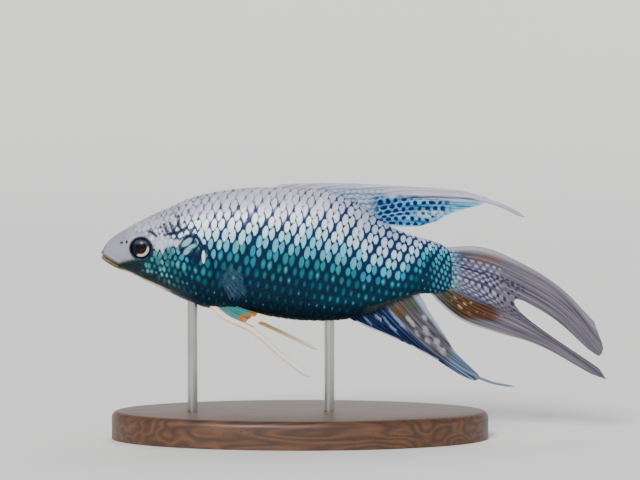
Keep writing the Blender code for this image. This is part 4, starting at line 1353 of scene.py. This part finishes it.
# Scales run out on to the root of the fin.
tiles = spots_in_rows(x / 0.85 + sway, z / 0.8 + 0.4 * streak, 0.52, 1.0)
tiled = x.rise(29.6, 26.8) * (number + 0.35 * (x - 26)).rise(12.4, 11.2)
margin = number.rise(1.9, 0.9).most(number.rise(13.65, 13.85))
colour = paint_over(streak.blend(tint(74, 69, 78), tint(110, 104, 115)), (
    (1, rooted, streak.blend(tint(52, 56, 82), tint(90, 90, 108))),
    (0.8, blots, tint(176, 168, 182)),
    (0.85, dark, tint(16, 24, 64)),
    (0.55, spot_at(x, z, (34.2, 32.2), (3.4, 0.9), 0.6), tint(112, 78, 62)),
    (0.95, zone, brown),
    (0.55, dashes * wire.noise(where, 450.0).rise(0.48, 0.58), tint(190, 168, 136)),
    (1, tiled, tiles.blend(tint(14, 60, 94), tint(132, 186, 204))),
    (0.85, margin, x.rise(44, 30).blend(tint(134, 128, 138), tint(176, 169, 178))),
    (0.25, lines * (1 - dark) * (1 - zone), tint(160, 156, 170)),
))
finish_fin(wire, colour, streak, lines)
sheet = membrane(CAUDAL_GUIDES, CAUDAL_RAYS, 56, fork=CAUDAL_FORK, scallop=0.004)
set_fin("caudal_fin", finish, "caudal_fin_skin", sheet)

PELVIC_RAYS = 5
PELVIC_LEAN = ((-16.0, 25.4), (0.75, -0.66), 1.4, 4.6, 12.0)
PELVIC_FINS = {
    "left": (
        -1,
        (
            (0, ((-16.3, 24.9), (-12.4, 21.8), (-8.7, 20.0))),
            (5, ((-14.3, 25.3), (-10.2, 23.7), (-5.7, 22.4))),
        ),
        ((-16.6, 24.9), (-13.5, 22.2), (-9.0, 20.1), (-3.0, 15.2), (1.8, 11.5)),
        (1.15, 0.9),
        (tint(242, 216, 200), tint(238, 230, 230), tint(46, 134, 132)),
    ),
    "right": (
        1,
        (
            (0, ((-15.9, 25.2), (-12.4, 22.7), (-8.2, 20.9))),
            (5, ((-14.3, 25.3), (-10.6, 24.0), (-6.6, 23.1))),
        ),
        ((-16.2, 25.2), (-11.5, 22.3), (-7.6, 20.7), (-1.5, 17.8), (3.2, 15.5)),
        (0.8, 0.6),
        # The far fin's ray and tip paints are lighter than its own colour: painted light against the belly's
        # shadow on it.
        (tint(255, 222, 140), tint(255, 250, 214), tint(170, 124, 50)),
    ),
}
for word, (side, guides, path, widths, (ray_paint, tip_paint, root_paint)) in PELVIC_FINS.items():
    finish, wire, where, x, _, number, reach, streak = fin_wires(f"pelvic_fin_{word}_finish", PELVIC_RAYS)
    lines = ray_lines(number)
    ragged = reach + wire.waver(where, 900.0, 0.35)
    colour = paint_over(root_paint, (
        (0.6, streak, tint(14, 84, 94)),
        (1, ragged.rise(0.6, 0.68), streak.blend(tint(118, 70, 10), tint(170, 112, 34))),
        (1, ragged.rise(0.78, 0.84) * number.rise(0.6, 1.4), tint(232, 222, 206)),
        (0.2, lines, tint(206, 190, 160)),
        (1, number.rise(0.75, 0.3), x.rise(-6, 2).blend(ray_paint, tip_paint)),
    ))
    finish_fin(wire, colour, streak, lines)
    sheet = membrane(guides, PELVIC_RAYS, 18, PELVIC_LEAN, side)
    strand = long_ray(path, widths, 0.0, PELVIC_LEAN, side)
    set_fin(f"pelvic_fin_{word}", finish, "pelvic_fin_skin", sheet, strand)

PECTORAL_RAYS = 8
PECTORAL_LEAN = ((-14.6, 30.8), (1.0, 0.0), 4.8, 2.7, 2.2)
PECTORAL_GUIDES = (
    (0, ((-14.6, 31.7), (-12.4, 31.3), (-9.9, 30.0))),
    (4, ((-14.6, 30.8), (-11.9, 28.8), (-9.0, 26.4))),
    (8, ((-14.6, 29.9), (-13.4, 27.6), (-12.3, 25.2))),
)
finish, wire, _, _, _, number, reach, streak = fin_wires("pectoral_fin_finish", PECTORAL_RAYS, 5.0)
lines = ray_lines(number, 0.4) * streak.rise(0.2, 0.8)
colour = lines.blend(tint(36, 78, 110), tint(92, 136, 164))
clear = (0.13 + 0.09 * lines + 0.2 * reach.rise(0.2, 0.0)) * reach.rise(1.02, 0.8)
lacquer(wire, colour, {"Alpha": clear, "Roughness": 0.5 - 0.1 * streak, "Specular IOR Level": 0.3})
for word, side in SIDES:
    sheet = membrane(PECTORAL_GUIDES, PECTORAL_RAYS, 20, PECTORAL_LEAN, side, scallop=0.0)
    set_fin(f"pectoral_fin_{word}", finish, "pectoral_fin_skin", sheet)

# The stand: an oval plinth of oiled walnut with a rounded upper edge, and two brushed steel rods, turned to
# size, that stand in sockets in it and carry the fish under its belly.
PLINTH_SIDES, PLINTH_EDGE, PLINTH_EDGE_STEPS = 160, 1.2, 6
ROD_SIDES, ROD_INTO_BELLY = 48, 0.6
plinth_low, plinth_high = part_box("stand_plinth")

walnut, wire, where = new_finish("walnut_finish")
grain_way = wire.stretch(where, 0.09, 1.0, 1.0)
grain = wire.noise(grain_way, 900.0, 5.0, 0.6)
rings = (wire.noise(grain_way, 160.0, 2.0) * 14.0).off_middle() * 2.0
pores = wire.noise(wire.stretch(where, 0.05, 1.0, 1.0), 5200.0, 2.0).rise(0.60, 0.72)
wood = 0.55 * grain + 0.45 * rings
wood = wood.ramp((0.0, tint(38, 22, 13)), (0.45, tint(74, 44, 26)), (1.0, tint(116, 74, 45)))
lacquer(wire, (0.7 * pores).blend(wood, tint(22, 13, 8)), {
    "Roughness": 0.42 + 0.15 * grain,
    "Normal": wire.bump(0.25, 0.08, 0.4 * grain - 1.0 * pores),
    "Coat Weight": 0.15,
    "Coat Roughness": 0.3,
})
deselect()
plinth_size = plinth_high - plinth_low
bpy.ops.mesh.primitive_cylinder_add(
    vertices=PLINTH_SIDES, radius=0.5, depth=1, location=(plinth_low + plinth_high) / 2, scale=plinth_size
)
plinth = bpy.context.object
bpy.ops.object.transform_apply(location=True, rotation=False, scale=True)
pick_points(plinth, corners(plinth)[:, 2] > plinth_high.z - 0.5 * MM)
bpy.ops.mesh.select_mode(type="EDGE")
bpy.ops.mesh.bevel(offset=PLINTH_EDGE * MM, segments=PLINTH_EDGE_STEPS, profile=0.5, affect="EDGES")
bpy.ops.object.mode_set(mode="OBJECT")
fit(plinth, "plinth", walnut, "walnut", "stand_plinth")

steel, wire, where = new_finish("steel_finish")
brushed = wire.noise(wire.stretch(where, 1.0, 1.0, 0.03), 9000.0, 3.0)
lacquer(wire, brushed.blend(tint(150, 150, 150), tint(206, 206, 204)), {
    "Roughness": 0.24 + 0.2 * brushed,
    "Normal": wire.bump(0.2, 0.03, brushed),
    "Metallic": 1.0,
})
for word in ("front", "rear"):
    low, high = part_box(f"stand_rod_{word}")
    deselect()
    middle = (low + high) / 2
    bpy.ops.mesh.primitive_cylinder_add(
        vertices=ROD_SIDES,
        radius=(high.x - low.x) / 2,
        depth=high.z - low.z + ROD_INTO_BELLY * MM,
        location=(middle.x, middle.y, middle.z + ROD_INTO_BELLY / 2 * MM),
    )
    rod = bpy.context.object
    bpy.ops.object.transform_apply(location=True, rotation=False, scale=True)
    fit(rod, f"rod_{word}", steel, "steel", f"stand_rod_{word}")

# The studio: a wide pale floor that curves up all round, a soft key light in front and above, a weak rim
# light behind, and the camera where the photograph was taken from, a little above the fish's middle.
MODEL_IN_VIEW = 115.2
VIEW_MIDDLE = (3.6, 0.0, 35.8)
VIEW_ELEVATION = math.radians(3)
LENS, SENSOR = 150.0, 36.0
FLOOR_SIZE, FLOOR_FLAT, FLOOR_WALL, FLOOR_CELLS = 8.0, 1.4, 1.6, 120

deselect()
bpy.ops.mesh.primitive_grid_add(x_subdivisions=FLOOR_CELLS, y_subdivisions=FLOOR_CELLS, size=FLOOR_SIZE)
floor = bpy.context.object
floor.name = "floor"
flat = corners(floor)
out = np.hypot(flat[:, 0], flat[:, 1])
flat[:, 2] = FLOOR_WALL * step_up(out, FLOOR_FLAT, FLOOR_SIZE / 2)
move_to(floor, flat)
floor.data.shade_smooth()
floor_finish, wire, where = new_finish("floor_finish")
cloud = wire.noise(where, 6.0, 3.0)
lacquer(wire, cloud.blend(tint(238, 238, 236), tint(243, 243, 241)), {"Roughness": 0.7 + 0.1 * cloud})
floor.data.materials.append(floor_finish)


def soft_sun(name, azimuth, elevation, power, softness, colour):
    """A far, soft light: azimuth 0 is the camera's side, and it grows towards the tail."""
    lamp = bpy.data.lights.new(name, "SUN")
    lamp.energy = power
    lamp.angle = math.radians(softness)
    lamp.color = colour
    lit = new_object(name, lamp)
    azimuth, elevation = math.radians(azimuth), math.radians(elevation)
    level = math.cos(elevation)
    towards = Vector((math.sin(azimuth) * level, -math.cos(azimuth) * level, math.sin(elevation)))
    lit.rotation_euler = towards.to_track_quat("Z", "Y").to_euler()


soft_sun("key_light", -18, 36, 3.3, 20, (1.0, 0.99, 0.97))
soft_sun("rim_light", 165, 50, 0.8, 30, (0.95, 0.97, 1.0))
world = bpy.data.worlds.new("studio")
world.use_nodes = True
world.node_tree.nodes["Background"].inputs["Color"].default_value = (0.86, 0.88, 0.90, 1.0)
world.node_tree.nodes["Background"].inputs["Strength"].default_value = 0.4
bpy.context.scene.world = world

lens = bpy.data.cameras.new("camera")
lens.lens = LENS
lens.sensor_width = SENSOR
lens.clip_start = 0.01
camera = new_object("camera", lens)
distance = MODEL_IN_VIEW * MM * LENS / SENSOR
target = Vector(VIEW_MIDDLE) * MM
away = Vector((0, -math.cos(VIEW_ELEVATION), math.sin(VIEW_ELEVATION)))
camera.location = target + away * distance
camera.rotation_euler = (-away).to_track_quat("-Z", "Y").to_euler()
bpy.context.scene.camera = camera
